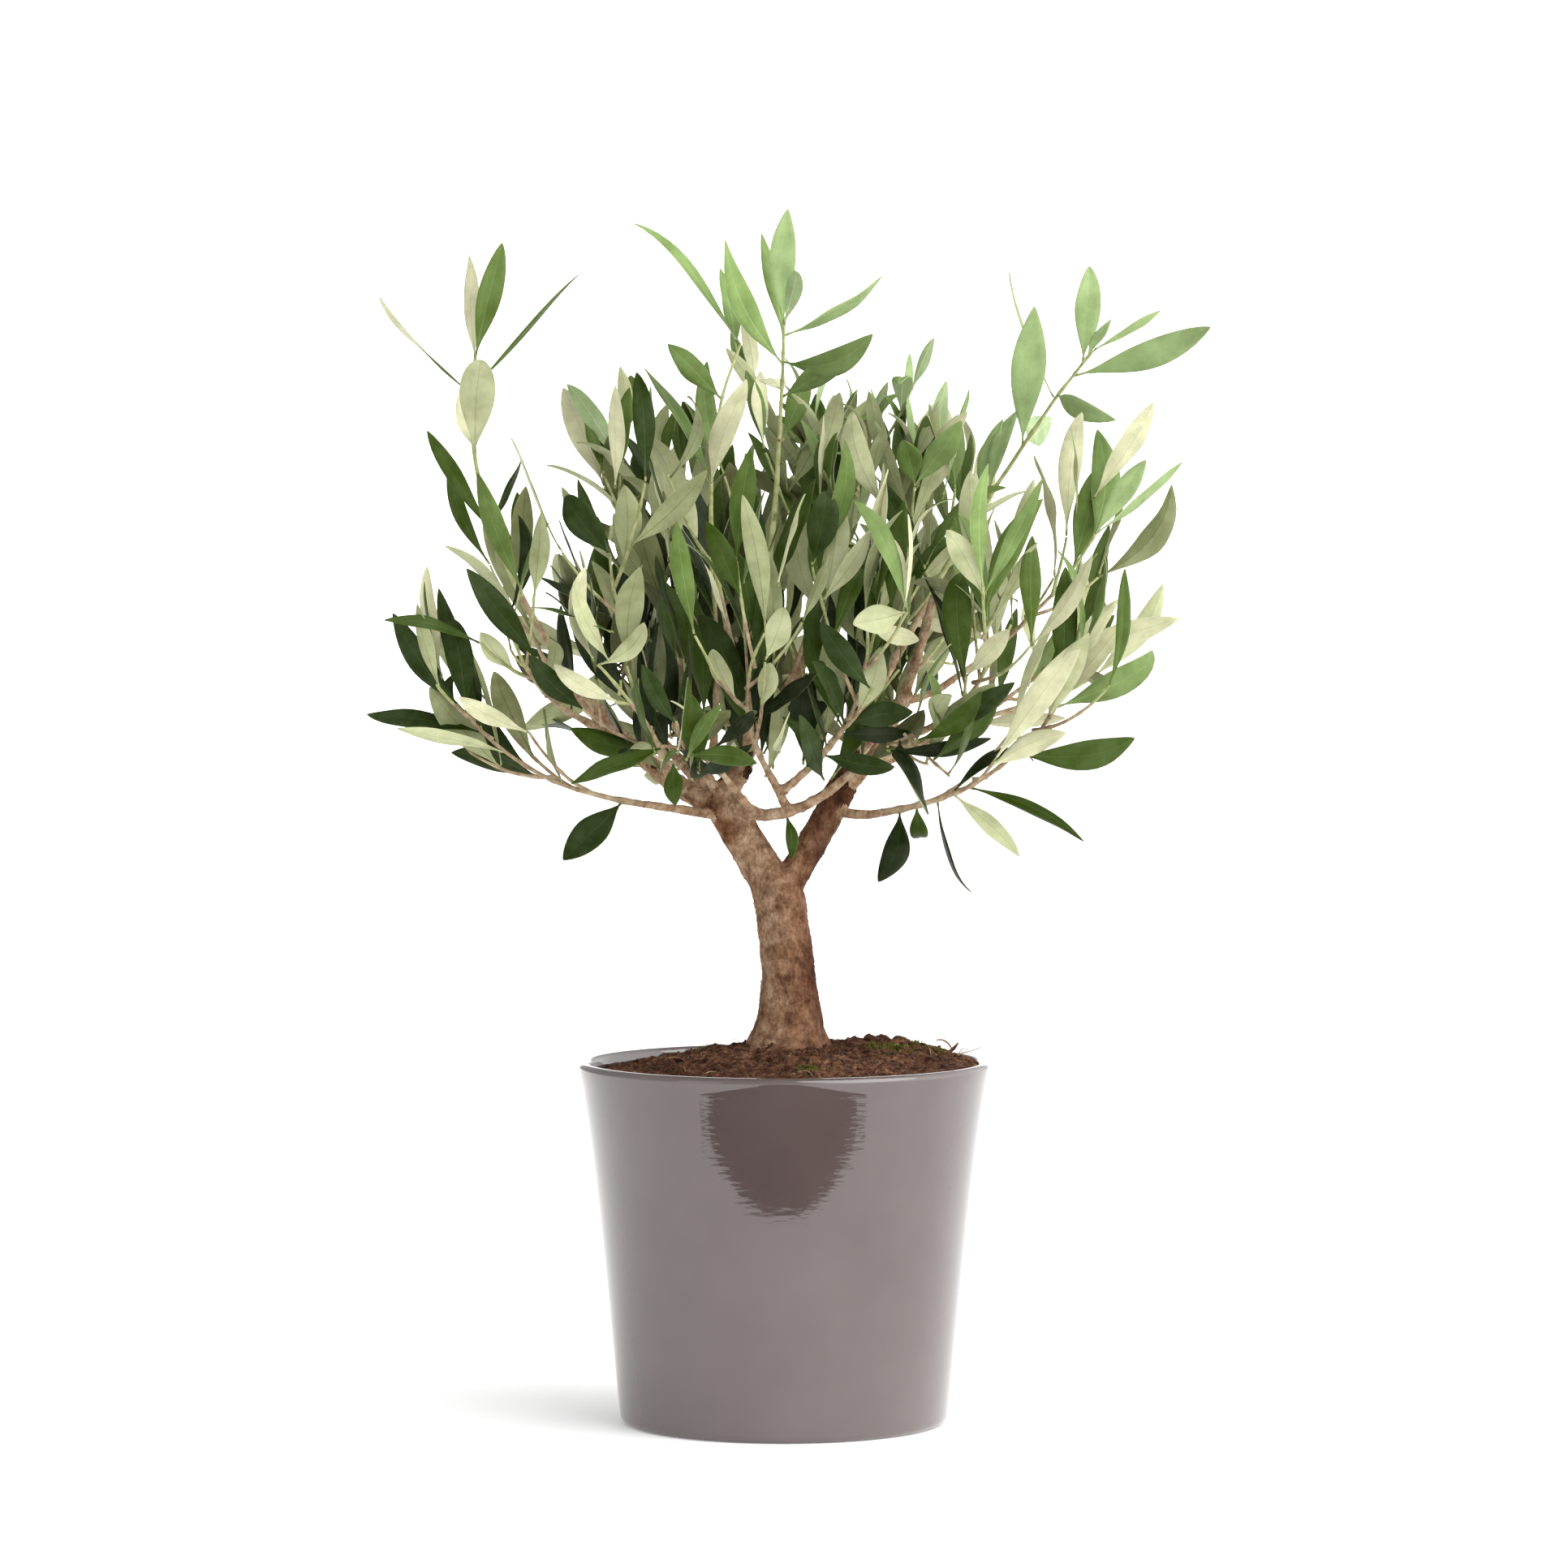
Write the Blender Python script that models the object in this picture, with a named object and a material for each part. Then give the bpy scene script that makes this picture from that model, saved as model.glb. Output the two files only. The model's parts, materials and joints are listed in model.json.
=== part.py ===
"""A young olive tree in a glazed pot.

The frame: metres, +Z up, the origin at the centre of the pot's flat underside, and -Y towards the side
that the tree is shown from. A short trunk stands in the soil and forks into two limbs. Boughs leave the
limbs, and each one ends where a mass of foliage begins.
"""

import math
import random
from collections import namedtuple

import bmesh
import bpy
import numpy as np
from mathutils import Vector

GAP = 0.0003  # what is left between solids that would otherwise touch
FRONT = Vector((0, -1, 0))

# The pot: a tapered cover pot whose wall flares a little under a round rim.
POT_HEIGHT = 0.158
POT_FOOT_RADIUS = 0.0716
POT_SLOPE = 0.100
POT_FLARE = 0.0031  # added to the radius at the rim
POT_FLARE_POWER = 5
POT_WALL = 0.005
POT_FLOOR = 0.012
POT_FOOT_ROUND = 0.0035
POT_SHOULDER = POT_HEIGHT - POT_WALL / 2  # where the round rim starts
POT_INSIDE_HEIGHTS = (POT_SHOULDER, 0.145, 0.128, 0.086, POT_FLOOR)
POT_SEGMENTS = 48

# The soil: filled to just under the rim, heaped towards the middle and to one side.
SOIL_EDGE_DROP = 0.0035  # below the rim, at the wall
SOIL_DOME = 0.0075
SOIL_MOUND = (0.044, 0.012, 0.0055, 0.030)  # x, y, height and spread
SOIL_LUMP = 0.0011
SOIL_LUMP_RATE = (310, 270)  # radians per metre along X and Y
SOIL_LUMP_START = (1.3, -0.6)
SOIL_RINGS = 6
TRUNK_BED_Z = 0.1640  # the flat patch that the trunk stands on
TRUNK_BED_RADIUS = 0.024

# The trunk, from its flat cut at the soil to the fork.
TRUNK_FOOT = Vector((0.0020, 0.0, TRUNK_BED_Z + GAP))
TRUNK_ELBOW = Vector((0.0035, 0.0005, 0.2000))
TRUNK_TOP = Vector((-0.0030, 0.0, 0.2330))
TRUNK_RADIUS = 0.0108
TRUNK_FLARE = 0.0072  # added at the foot
TRUNK_FLARE_FALL = 0.18  # the share of the height over which the flare dies away
TRUNK_TAPER = 0.06  # over its length, flare apart
ROOT_LOBES = 5
ROOT_LOBE_DEPTH = 0.10
ROOT_LOBE_START = 0.7  # radians
ROOT_LOBE_UNEVEN = 0.3
TRUNK_SIDES = 16
TRUNK_RINGS = 9

# Every limb: how its end is rounded and its foot is swollen, and how long its straight stretches are.
DOME_HEIGHT = 0.45  # over the end's radius
DOME_RADIUS = 0.62
LIMB_SWELLING = 0.22  # of its radius
LIMB_SWELLING_FALL = 6  # the higher, the nearer to the foot it stays
LIMB_STEP = 0.013

# Each limb or bough leaves its parent's axis at a share of the parent's length, heads for the elbow and ends
# at the tip, in millimetres. The radii are at its two ends. Parents come before their children.
Limb = namedtuple("Limb", "name parent at elbow tip radii")
LIMBS = [
    Limb("limb_left", "trunk", 0.90, (-10.5, -1, 243), (-25.8, -2, 270), (8.5, 8.0)),
    Limb("limb_right", "trunk", 0.90, (7.5, 2, 242), (26.2, 4, 279), (6.6, 6.2)),
    Limb("bough_left", "limb_left", 0.90, (-55, 6, 277), (-82, 10, 312), (5.2, 2.8)),
    Limb("bough_centre", "limb_left", 1.00, (-15, 2, 286), (-12.5, 4, 320), (5.6, 2.6)),
    Limb("bough_cross", "limb_left", 0.93, (0, -17, 257), (29, -30, 285), (3.0, 1.8)),
    Limb("bough_low_left", "limb_left", 0.80, (-45, -12, 268.5), (-64, -18, 271.5), (2.2, 1.6)),
    Limb("bough_inner_left", "limb_left", 0.96, (-34.5, -10, 286), (-48, -16, 306), (2.2, 1.6)),
    Limb("bough_inner_up", "bough_left", 0.18, (-30, 4, 286), (-30, 2, 310), (2.4, 1.7)),
    Limb("bough_back_left", "limb_left", 0.92, (-40, 26, 282), (-56, 46, 298), (3.4, 2.2)),
    Limb("bough_front_left", "bough_left", 0.34, (-50, -16, 281), (-52, -33, 291), (2.4, 1.8)),
    Limb("bough_left_front", "bough_left", 0.58, (-76, -6, 302), (-88, -18, 308), (2.2, 1.7)),
    Limb("bough_left_back", "bough_left", 0.70, (-78, 30, 306), (-92, 46, 316), (2.4, 1.8)),
    Limb("bough_mid", "bough_cross", 0.48, (-2, -24, 277), (-8, -36, 288), (2.0, 1.5)),
    Limb("bough_front_right", "bough_mid", 0.40, (6, -34, 282), (15, -43, 292), (1.9, 1.5)),
    Limb("bough_front_low", "bough_cross", 0.26, (-16, -30, 270), (-24, -44, 282), (1.9, 1.5)),
    Limb("bough_centre_right", "bough_centre", 0.55, (4, 10, 312), (10, 14, 336), (2.4, 1.8)),
    Limb("bough_centre_left", "bough_centre", 0.78, (-20, -4, 326), (-23.5, -8, 342), (2.2, 1.7)),
    Limb("bough_back_centre", "bough_centre", 0.30, (-14, 30, 298), (-15, 48, 316), (3.0, 2.0)),
    Limb("bough_back_up", "bough_back_centre", 0.55, (4, 34, 318), (8, 44, 336), (2.2, 1.7)),
    Limb("bough_back_left_up", "bough_back_left", 0.45, (-38, 32, 298), (-44, 40, 324), (2.2, 1.7)),
    Limb("bough_low_right", "limb_right", 0.74, (34, -6, 264), (45.5, -12, 267.5), (2.2, 1.7)),
    Limb("bough_up_right", "limb_right", 1.00, (29, 8, 300), (39, 12, 326), (4.2, 2.4)),
    Limb("bough_right", "limb_right", 0.92, (48, -8, 290), (65, -20, 362), (3.4, 1.9)),
    Limb("bough_back_right", "limb_right", 0.84, (24, 30, 278), (40, 52, 298), (3.6, 2.2)),
    Limb("bough_up_right_out", "bough_up_right", 0.58, (44, 18, 324), (56, 22, 346), (2.4, 1.8)),
    Limb("bough_up_right_back", "bough_up_right", 0.76, (40, 34, 328), (48, 46, 344), (2.2, 1.7)),
    Limb("bough_right_mid", "bough_right", 0.18, (54, 10, 294), (68, 16, 300), (2.0, 1.6)),
    Limb("bough_right_front", "bough_right", 0.32, (58, -24, 300), (67, -33, 307), (1.8, 1.5)),
    Limb("bough_right_out", "bough_right", 0.50, (63, -6, 316), (74, -3, 325), (1.8, 1.5)),
    Limb("bough_back_low", "bough_back_right", 0.55, (48, 46, 286), (62, 56, 294), (2.0, 1.6)),
]

# Each mass of foliage grows on from its bough's tip, in millimetres. Its stem ends at `tip`, and `sides` side
# twigs of about `side` leave it. Leaf pairs sit `step` apart, or nowhere if it is 0, and a full-grown leaf is
# `leaf` long.
Mass = namedtuple("Mass", "name bough tip sides side step leaf seed")
MASSES = [
    Mass("leaves_low_left", "bough_low_left", (-148, -36, 328), 6, 46, 15, 50, 2),
    Mass("leaves_front_left", "bough_front_left", (-82, -77, 336), 5, 38, 15, 50, 36),
    Mass("shoot_top_left", "bough_left", (-134, -6, 464), 0, 40, 0, 62, 0),
    Mass("leaves_left_front", "bough_left_front", (-118, -50, 356), 5, 36, 14, 48, 2),
    Mass("leaves_left_back", "bough_left_back", (-118, 70, 364), 4, 42, 16, 50, 4),
    Mass("leaves_upper_left", "bough_inner_left", (-72, -36, 410), 5, 42, 14, 52, 2),
    Mass("leaves_upper_mid", "bough_inner_up", (-40, -20, 408), 4, 42, 14, 52, 15),
    Mass("shoot_top_centre", "bough_centre", (0, 4, 479), 3, 46, 0, 58, 0),
    Mass("leaves_cross", "bough_cross", (56, -78, 300), 5, 36, 14, 50, 13),
    Mass("leaves_mid_front", "bough_mid", (-6, -82, 350), 5, 44, 15, 50, 24),
    Mass("leaves_front_right", "bough_front_right", (34, -74, 356), 5, 44, 15, 50, 2),
    Mass("leaves_front_low", "bough_front_low", (-52, -82, 298), 4, 36, 14, 46, 39),
    Mass("leaves_low_right", "bough_low_right", (128, -46, 336), 6, 40, 17, 54, 35),
    Mass("shoot_right_out", "bough_right_out", (135, -10, 388), 3, 42, 17, 52, 23),
    Mass("leaves_right_front", "bough_right_front", (86, -66, 352), 5, 40, 15, 50, 27),
    Mass("leaves_right_mid", "bough_right_mid", (130, 24, 344), 5, 42, 16, 52, 27),
    Mass("leaves_up_right", "bough_up_right", (56, -4, 420), 5, 44, 14, 50, 18),
    Mass("shoot_top_right", "bough_up_right_out", (135, 16, 468), 0, 45, 0, 60, 0),
    Mass("leaves_up_right_back", "bough_up_right_back", (88, 70, 405), 4, 44, 16, 52, 36),
    Mass("leaves_centre_right", "bough_centre_right", (18, 14, 424), 4, 44, 15, 52, 25),
    Mass("shoot_top_mid", "bough_centre_left", (-19, -6, 470), 2, 40, 0, 56, 0),
    Mass("leaves_back_centre", "bough_back_centre", (-20, 100, 370), 5, 44, 18, 52, 13),
    Mass("leaves_back_up", "bough_back_up", (18, 70, 415), 5, 44, 18, 52, 17),
    Mass("leaves_back_left_up", "bough_back_left_up", (-64, 56, 402), 4, 44, 18, 52, 32),
    Mass("leaves_back_left", "bough_back_left", (-82, 104, 336), 4, 44, 18, 50, 20),
    Mass("leaves_back_right", "bough_back_right", (64, 110, 350), 4, 44, 18, 50, 34),
    Mass("leaves_back_low", "bough_back_low", (120, 78, 314), 4, 42, 16, 50, 28),
]

# Leaves that shape the crown's outline: each leaves a mass's stem at a share of its length and ends at a tip,
# in millimetres. One that faces 0 degrees shows its upper face to the front, and one that faces 180 its
# underside. It bends by `bend` degrees over its length.
Placed = namedtuple("Placed", "mass at tip width face bend")
PLACED = [
    Placed("leaves_low_left", 0.05, (-95, -34, 247), 14, 15, -12),
    Placed("leaves_low_left", 0.70, (-180, -34, 300), 10, 50, 12),
    Placed("leaves_low_right", 0.04, (37, -30, 240), 12, 20, -10),
    Placed("leaves_low_right", 0.11, (59, -2, 249), 8, 10, 0),
    Placed("leaves_low_right", 0.20, (76, -30, 232), 9, 75, 10),
    Placed("leaves_low_right", 0.27, (102, -44, 253), 9, 140, 12),
    Placed("leaves_low_right", 0.33, (129, -30, 256), 10, 50, -14),
    Placed("leaves_low_right", 0.56, (153, -24, 303), 13, 10, 12),
    Placed("leaves_low_right", 0.72, (130, -60, 346), 12, 170, 4),
    Placed("leaves_low_right", 0.79, (169, -50, 331), 14, 30, 10),
    Placed("leaves_right_mid", 0.78, (172, 10, 353), 12, 160, -16),
    Placed("shoot_top_left", 0.52, (-156, -20, 431), 9, 60, -10),
    Placed("shoot_top_left", 0.55, (-112, 30, 420), 9, 60, -10),
    Placed("shoot_top_left", 0.74, (-126, -20, 470), 16, 175, 4),
    Placed("shoot_top_left", 0.76, (-140, 44, 452), 12, 200, 10),
    Placed("shoot_top_left", 0.90, (-179, -24, 487), 9, 70, 10),
    Placed("shoot_top_left", 0.92, (-94, 10, 506), 8, 70, 6),
    Placed("shoot_top_left", 1.00, (-134, 4, 507), 11, 150, 0),
    Placed("shoot_top_left", 1.00, (-118, -14, 511), 11, 20, -8),
    Placed("shoot_top_centre", 0.80, (30, -10, 466), 12, 30, 10),
    Placed("shoot_top_centre", 0.82, (-6, 52, 462), 12, 200, 10),
    Placed("shoot_top_centre", 0.89, (-22, -24, 517), 13, 20, 8),
    Placed("shoot_top_centre", 0.90, (36, -20, 478), 12, 20, 60),
    Placed("shoot_top_centre", 0.96, (-12, 20, 518), 9, 30, 8),
    Placed("shoot_top_centre", 0.97, (44, 16, 501), 9, 50, 14),
    Placed("shoot_top_centre", 1.00, (4, 0, 527), 12, 15, -6),
    Placed("shoot_top_centre", 1.00, (10, -14, 502), 8, 150, 6),
    Placed("shoot_top_mid", 0.80, (-50, -16, 470), 11, 20, 10),
    Placed("shoot_top_mid", 0.97, (-29, 10, 503), 10, 30, 8),
    Placed("shoot_top_mid", 1.00, (-57, -10, 529), 9, 60, -10),
    Placed("shoot_top_right", 0.64, (111, 4, 486), 16, 15, 4),
    Placed("shoot_top_right", 0.66, (118, 62, 440), 13, 200, 10),
    Placed("shoot_top_right", 0.81, (96, 28, 502), 8, 80, -8),
    Placed("shoot_top_right", 0.83, (140, -16, 436), 10, 30, 50),
    Placed("shoot_top_right", 0.90, (184, -6, 482), 13, 25, -8),
    Placed("shoot_top_right", 0.95, (137, 12, 505), 12, 20, 6),
    Placed("shoot_top_right", 0.97, (142, -6, 482), 6, 40, 0),
    Placed("shoot_top_right", 1.00, (164, 20, 483), 6, 70, 8),
    Placed("shoot_right_out", 0.97, (131, 10, 433), 13, 15, -6),
    Placed("shoot_right_out", 0.99, (156, -20, 419), 10, 30, -10),
    Placed("shoot_right_out", 1.00, (172, 6, 419), 8, 70, 8),
]

# The rule that the foliage follows.
STEM_STEP = 0.028  # the length of one straight stretch of a stem or twig
STEM_REACH = 0.62  # how far a stem keeps to the line of its bough, as a share of its length
TWIG_TIP_RADIUS = 0.0006
SIDE_RADIUS = 0.0010
SIDE_SHARES = (0.10, 0.82)  # the stretch of a stem that its side twigs leave
SIDE_PLACE = (0.1, 0.9)  # where each one leaves, over its own part of that stretch
SIDE_ANGLE = (26, 46)  # degrees from the stem
SIDE_LENGTHS = (1.1, 0.7)  # at the stem's foot and at its tip, over the mass's own length
SIDE_SPREAD = (0.8, 1.2)
SIDE_WANDER = 30  # degrees either way about the stem
SEED_TURN = 50  # degrees that the first side twig turns with each seed
TWIG_ELBOW = 0.55
TWIG_LIFT = 0.38  # how far a side twig turns up, as a share of its length
SPIRAL = 137.5  # degrees from one side twig to the next
BARE = 0.007  # no leaves on this much of a twig's foot
LEAF_LENGTHS = (0.88, 1.14)  # over the mass's own length
LEAF_SHORTER = (0.20, 0.15)  # at a twig's foot and at its tip
LEAF_SLENDER = (0.26, 0.33)  # width over length
LEAF_MIDDLE = 0.54  # where along a leaf it is widest
LEAF_ANGLE = (74, 25)  # degrees from the twig: at its foot and at its tip
LEAF_WANDER = 12  # degrees either way from that angle
LEAF_RISE = 0.32  # how strongly a leaf turns upward
LEAF_BEND = (10, 16)  # degrees over a leaf's length: mean and spread
LEAF_TURN = 30  # degrees either way about the leaf's own line
PAIR_START = 30  # degrees: a leaf leaves through a face of its three-sided twig, not through an edge
PAIR_TURN = 60
PAIR_WANDER = 12
LEAF_FOLD = 0.22
LEAF_THICKNESS = 0.013  # over length
LEAF_SINK = 0.0016  # how far down the twig a leaf's root lies
LEAF_TRIES = 6
LEAF_SAMPLES = (0.25, 0.4, LEAF_MIDDLE, 0.7, 0.85, 1.0)  # shares of its length where its room is tested
LEAST_HALF_WIDTH = 0.001  # where a leaf is narrower, only its middle is tested
SPACE_MARGIN = 0.0012
LIMB_MARGIN = 0.0010
LEAF_SPACING = 0.0034
TWIG_SAMPLE = 0.006  # metres between the points that stand for a twig
LOWEST_LEAF = 0.272
HIGHEST_LEAF = 0.528
WIDEST_LEAF = 0.183  # from the pot's axis

Leaf = namedtuple("Leaf", "root axis normal length width bend")


# ---------------------------------------------------------------- curves and frames


def metres(numbers):
    return Vector([number * 0.001 for number in numbers])


def elbow_curve(start, elbow, tip, count):
    """count + 1 points of the curve that leaves start towards elbow and reaches tip coming from it."""
    points = []
    for i in range(count + 1):
        t = i / count
        points.append(start * (1 - t) ** 2 + elbow * (2 * t * (1 - t)) + tip * t * t)
    return points


def along(path, distance):
    """The point at that distance from the path's start, with the direction and a cross vector there."""
    frames = ring_frames(path)
    for (a, side, _), (b, _, _) in zip(frames, frames[1:]):
        step = (b - a).length
        if distance <= step or b is path[-1]:
            break
        distance -= step
    tangent = (b - a).normalized()
    return a.lerp(b, min(distance / step, 1.0)), tangent, (side - tangent * side.dot(tangent)).normalized()


def path_length(path):
    return sum((b - a).length for a, b in zip(path, path[1:]))


def across(direction):
    """A unit vector square to the direction, the same one each time."""
    side = direction.cross(Vector((0.31, 0.9, 0.13)))
    return side.normalized()


def ring_frames(path):
    """A pair of cross vectors at each point of the path, carried along it without twisting."""
    side = across(path[1] - path[0])
    frames = []
    for i, point in enumerate(path):
        before = path[max(i - 1, 0)]
        after = path[min(i + 1, len(path) - 1)]
        tangent = (after - before).normalized()
        side = (side - tangent * side.dot(tangent)).normalized()
        frames.append((point, side, tangent.cross(side)))
    return frames


# ---------------------------------------------------------------- meshes and objects


def clear_scene():
    for obj in list(bpy.data.objects):
        bpy.data.objects.remove(obj)


def principled(name, colour, roughness):
    made = bpy.data.materials.new(name)
    made.use_nodes = True
    shader = made.node_tree.nodes["Principled BSDF"]
    shader.inputs["Base Color"].default_value = (*colour, 1.0)
    shader.inputs["Roughness"].default_value = roughness
    shader.inputs["Metallic"].default_value = 0.0
    return made


def object_from(name, bm, material):
    bmesh.ops.recalc_face_normals(bm, faces=bm.faces)
    mesh = bpy.data.meshes.new(name)
    bm.to_mesh(mesh)
    bm.free()
    obj = bpy.data.objects.new(name, mesh)
    obj.data.materials.append(material)
    bpy.context.scene.collection.objects.link(obj)
    return obj


def skin(rings):
    """A closed mesh over rings of as many points each, with a flat cap on the first and the last."""
    bm = bmesh.new()
    loops = [[bm.verts.new(point) for point in ring] for ring in rings]
    for low, high in zip(loops, loops[1:]):
        for k, vert in enumerate(low):
            after = (k + 1) % len(low)
            bm.faces.new((vert, low[after], high[after], high[k]))
    bm.faces.new(loops[0])
    bm.faces.new(loops[-1])
    return bm


def tube(path, radii, sides, lobes=None):
    """A closed tapering tube round the path. lobes(ring, angle) scales the radius where it is given."""
    rings = []
    for i, ((centre, side, up), radius) in enumerate(zip(ring_frames(path), radii)):
        ring = []
        for k in range(sides):
            angle = 2 * math.pi * k / sides
            reach = radius * (lobes(i, angle) if lobes else 1.0)
            ring.append(centre + (side * math.cos(angle) + up * math.sin(angle)) * reach)
        rings.append(ring)
    return skin(rings)


def evaluated_mesh(obj):
    graph = bpy.context.evaluated_depsgraph_get()
    return bpy.data.meshes.new_from_object(obj.evaluated_get(graph))


def apply_boolean(obj, operation, operand):
    """Cuts or joins obj with a mesh object or with all the objects of a collection, and applies it."""
    modifier = obj.modifiers.new("boolean", "BOOLEAN")
    modifier.operation = operation
    modifier.solver = "EXACT"
    if isinstance(operand, bpy.types.Collection):
        modifier.operand_type = "COLLECTION"
        modifier.collection = operand
    else:
        modifier.object = operand
    mesh = evaluated_mesh(obj)
    obj.modifiers.clear()
    obj.data = mesh


def keep_body_at(obj, point):
    """Drops the scraps that a cut leaves loose: only the body with the vertex nearest the point stays."""
    bm = bmesh.new()
    bm.from_mesh(obj.data)
    nearest = min(bm.verts, key=lambda vert: (vert.co - point).length)
    kept = {nearest}
    edge_of_search = [nearest]
    while edge_of_search:
        vert = edge_of_search.pop()
        for edge in vert.link_edges:
            other = edge.other_vert(vert)
            if other not in kept:
                kept.add(other)
                edge_of_search.append(other)
    bmesh.ops.delete(bm, geom=[vert for vert in bm.verts if vert not in kept], context="VERTS")
    bm.to_mesh(obj.data)
    bm.free()


# ---------------------------------------------------------------- pot and soil


def circle_points(radius, height_at):
    """Points round the pot's axis, each at the height that height_at gives for its x and y."""
    points = []
    for k in range(POT_SEGMENTS):
        angle = 2 * math.pi * k / POT_SEGMENTS
        x, y = radius * math.cos(angle), radius * math.sin(angle)
        points.append((x, y, height_at(x, y)))
    return points


def pot_radius(z):
    return POT_FOOT_RADIUS + POT_SLOPE * z + POT_FLARE * (z / POT_HEIGHT) ** POT_FLARE_POWER


def pot_profile():
    """Radius and height of the pot's section, from the underside up the outside and down the inside."""
    foot = [(POT_FOOT_RADIUS - POT_FOOT_ROUND, 0.0)]
    foot.append((POT_FOOT_RADIUS - POT_FOOT_ROUND * 0.3, POT_FOOT_ROUND * 0.3))
    heights = (POT_FOOT_ROUND, 0.055, 0.100, 0.130, 0.146, POT_SHOULDER)
    outside = [(pot_radius(z), z) for z in heights]
    half_wall = POT_WALL / 2
    rim = []
    for angle in (45, 90, 135):
        turn = math.radians(angle)
        rim.append((
            pot_radius(POT_SHOULDER) - half_wall + half_wall * math.cos(turn),
            POT_SHOULDER + half_wall * math.sin(turn),
        ))
    inside = [(pot_radius(z) - POT_WALL, z) for z in POT_INSIDE_HEIGHTS]
    return foot + outside + rim + inside


def make_pot(material):
    rings = [circle_points(radius, lambda x, y, z=z: z) for radius, z in pot_profile()]
    pot = object_from("pot", skin(rings), material)
    pot.data.shade_smooth()
    pot.data.set_sharp_from_angle(angle=math.radians(50))


def soil_height(x, y, edge_radius):
    """The soil's surface: a low dome with a mound on one side, small lumps and a flat bed for the trunk."""
    out = min(math.hypot(x, y) / edge_radius, 1.0)
    z = POT_HEIGHT - SOIL_EDGE_DROP + SOIL_DOME * (1 - out**2)
    mound_x, mound_y, mound_z, spread = SOIL_MOUND
    inner = 1 - out**4
    z += mound_z * math.exp(-((x - mound_x) ** 2 + (y - mound_y) ** 2) / spread**2) * inner
    wave_x = math.sin(SOIL_LUMP_RATE[0] * x + SOIL_LUMP_START[0])
    wave_y = math.cos(SOIL_LUMP_RATE[1] * y + SOIL_LUMP_START[1])
    z += SOIL_LUMP * wave_x * wave_y * inner
    from_trunk = math.hypot(x - TRUNK_FOOT.x, y - TRUNK_FOOT.y) / TRUNK_BED_RADIUS
    flat = max(0.0, min(1.0, 2.0 - from_trunk))
    return z + (TRUNK_BED_Z - z) * flat


def make_soil(material):
    """A solid that fills the pot, a gap clear of its floor and wall."""
    lip = POT_HEIGHT - SOIL_EDGE_DROP
    heights = [POT_FLOOR + GAP] + [z for z in reversed(POT_INSIDE_HEIGHTS) if POT_FLOOR < z < lip]
    rings = []
    for z in heights:
        rings.append(circle_points(pot_radius(z) - POT_WALL - 2 * GAP, lambda x, y, z=z: z))
    edge_radius = pot_radius(lip) - POT_WALL - 2 * GAP
    for i in range(SOIL_RINGS, 0, -1):
        radius = edge_radius * i / SOIL_RINGS
        rings.append(circle_points(radius, lambda x, y: soil_height(x, y, edge_radius)))
    object_from("soil", skin(rings), material)


# ---------------------------------------------------------------- trunk, limbs and boughs


def trunk_radii():
    radii = []
    for i in range(TRUNK_RINGS + 1):
        t = i / TRUNK_RINGS
        flare = TRUNK_FLARE * math.exp(-t / TRUNK_FLARE_FALL)
        radii.append(TRUNK_RADIUS * (1 + TRUNK_TAPER * (1 - t)) + flare)
    return radii


def root_lobes(ring, angle):
    depth = ROOT_LOBE_DEPTH * math.exp(-ring / TRUNK_RINGS / (2 * TRUNK_FLARE_FALL))
    uneven = 1 - ROOT_LOBE_UNEVEN * (1 - math.cos(angle))
    return 1 + depth * math.cos(ROOT_LOBES * angle + ROOT_LOBE_START) * uneven


def dome_end(path, radii):
    """Rounds a limb's far end with one more, smaller ring."""
    heading = (path[-1] - path[-2]).normalized()
    return path + [path[-1] + heading * radii[-1] * DOME_HEIGHT], radii + [radii[-1] * DOME_RADIUS]


def limb_shape(limb, shapes):
    """The path and radii of a limb, from its parent's axis to its tip, a little swollen at its foot."""
    parent_path = shapes[limb.parent][0]
    start, _, _ = along(parent_path, limb.at * path_length(parent_path))
    elbow, tip = metres(limb.elbow), metres(limb.tip)
    count = max(3, round(((elbow - start).length + (tip - elbow).length) / LIMB_STEP))
    path = elbow_curve(start, elbow, tip, count)
    foot, end = (radius * 0.001 for radius in limb.radii)
    radii = []
    for i in range(count + 1):
        t = i / count
        radii.append((foot + (end - foot) * t) * (1 + LIMB_SWELLING * math.exp(-t * LIMB_SWELLING_FALL)))
    return path, radii


def limb_sides(limb):
    """Thicker limbs are rounder."""
    if limb.name.startswith("limb_"):
        return 12
    return 8 if limb.radii[0] >= 3 else 6


def boxes_meet(a, b):
    return all(
        min(p[k] for p in a) <= max(p[k] for p in b) and min(p[k] for p in b) <= max(p[k] for p in a)
        for k in range(3)
    )


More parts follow.
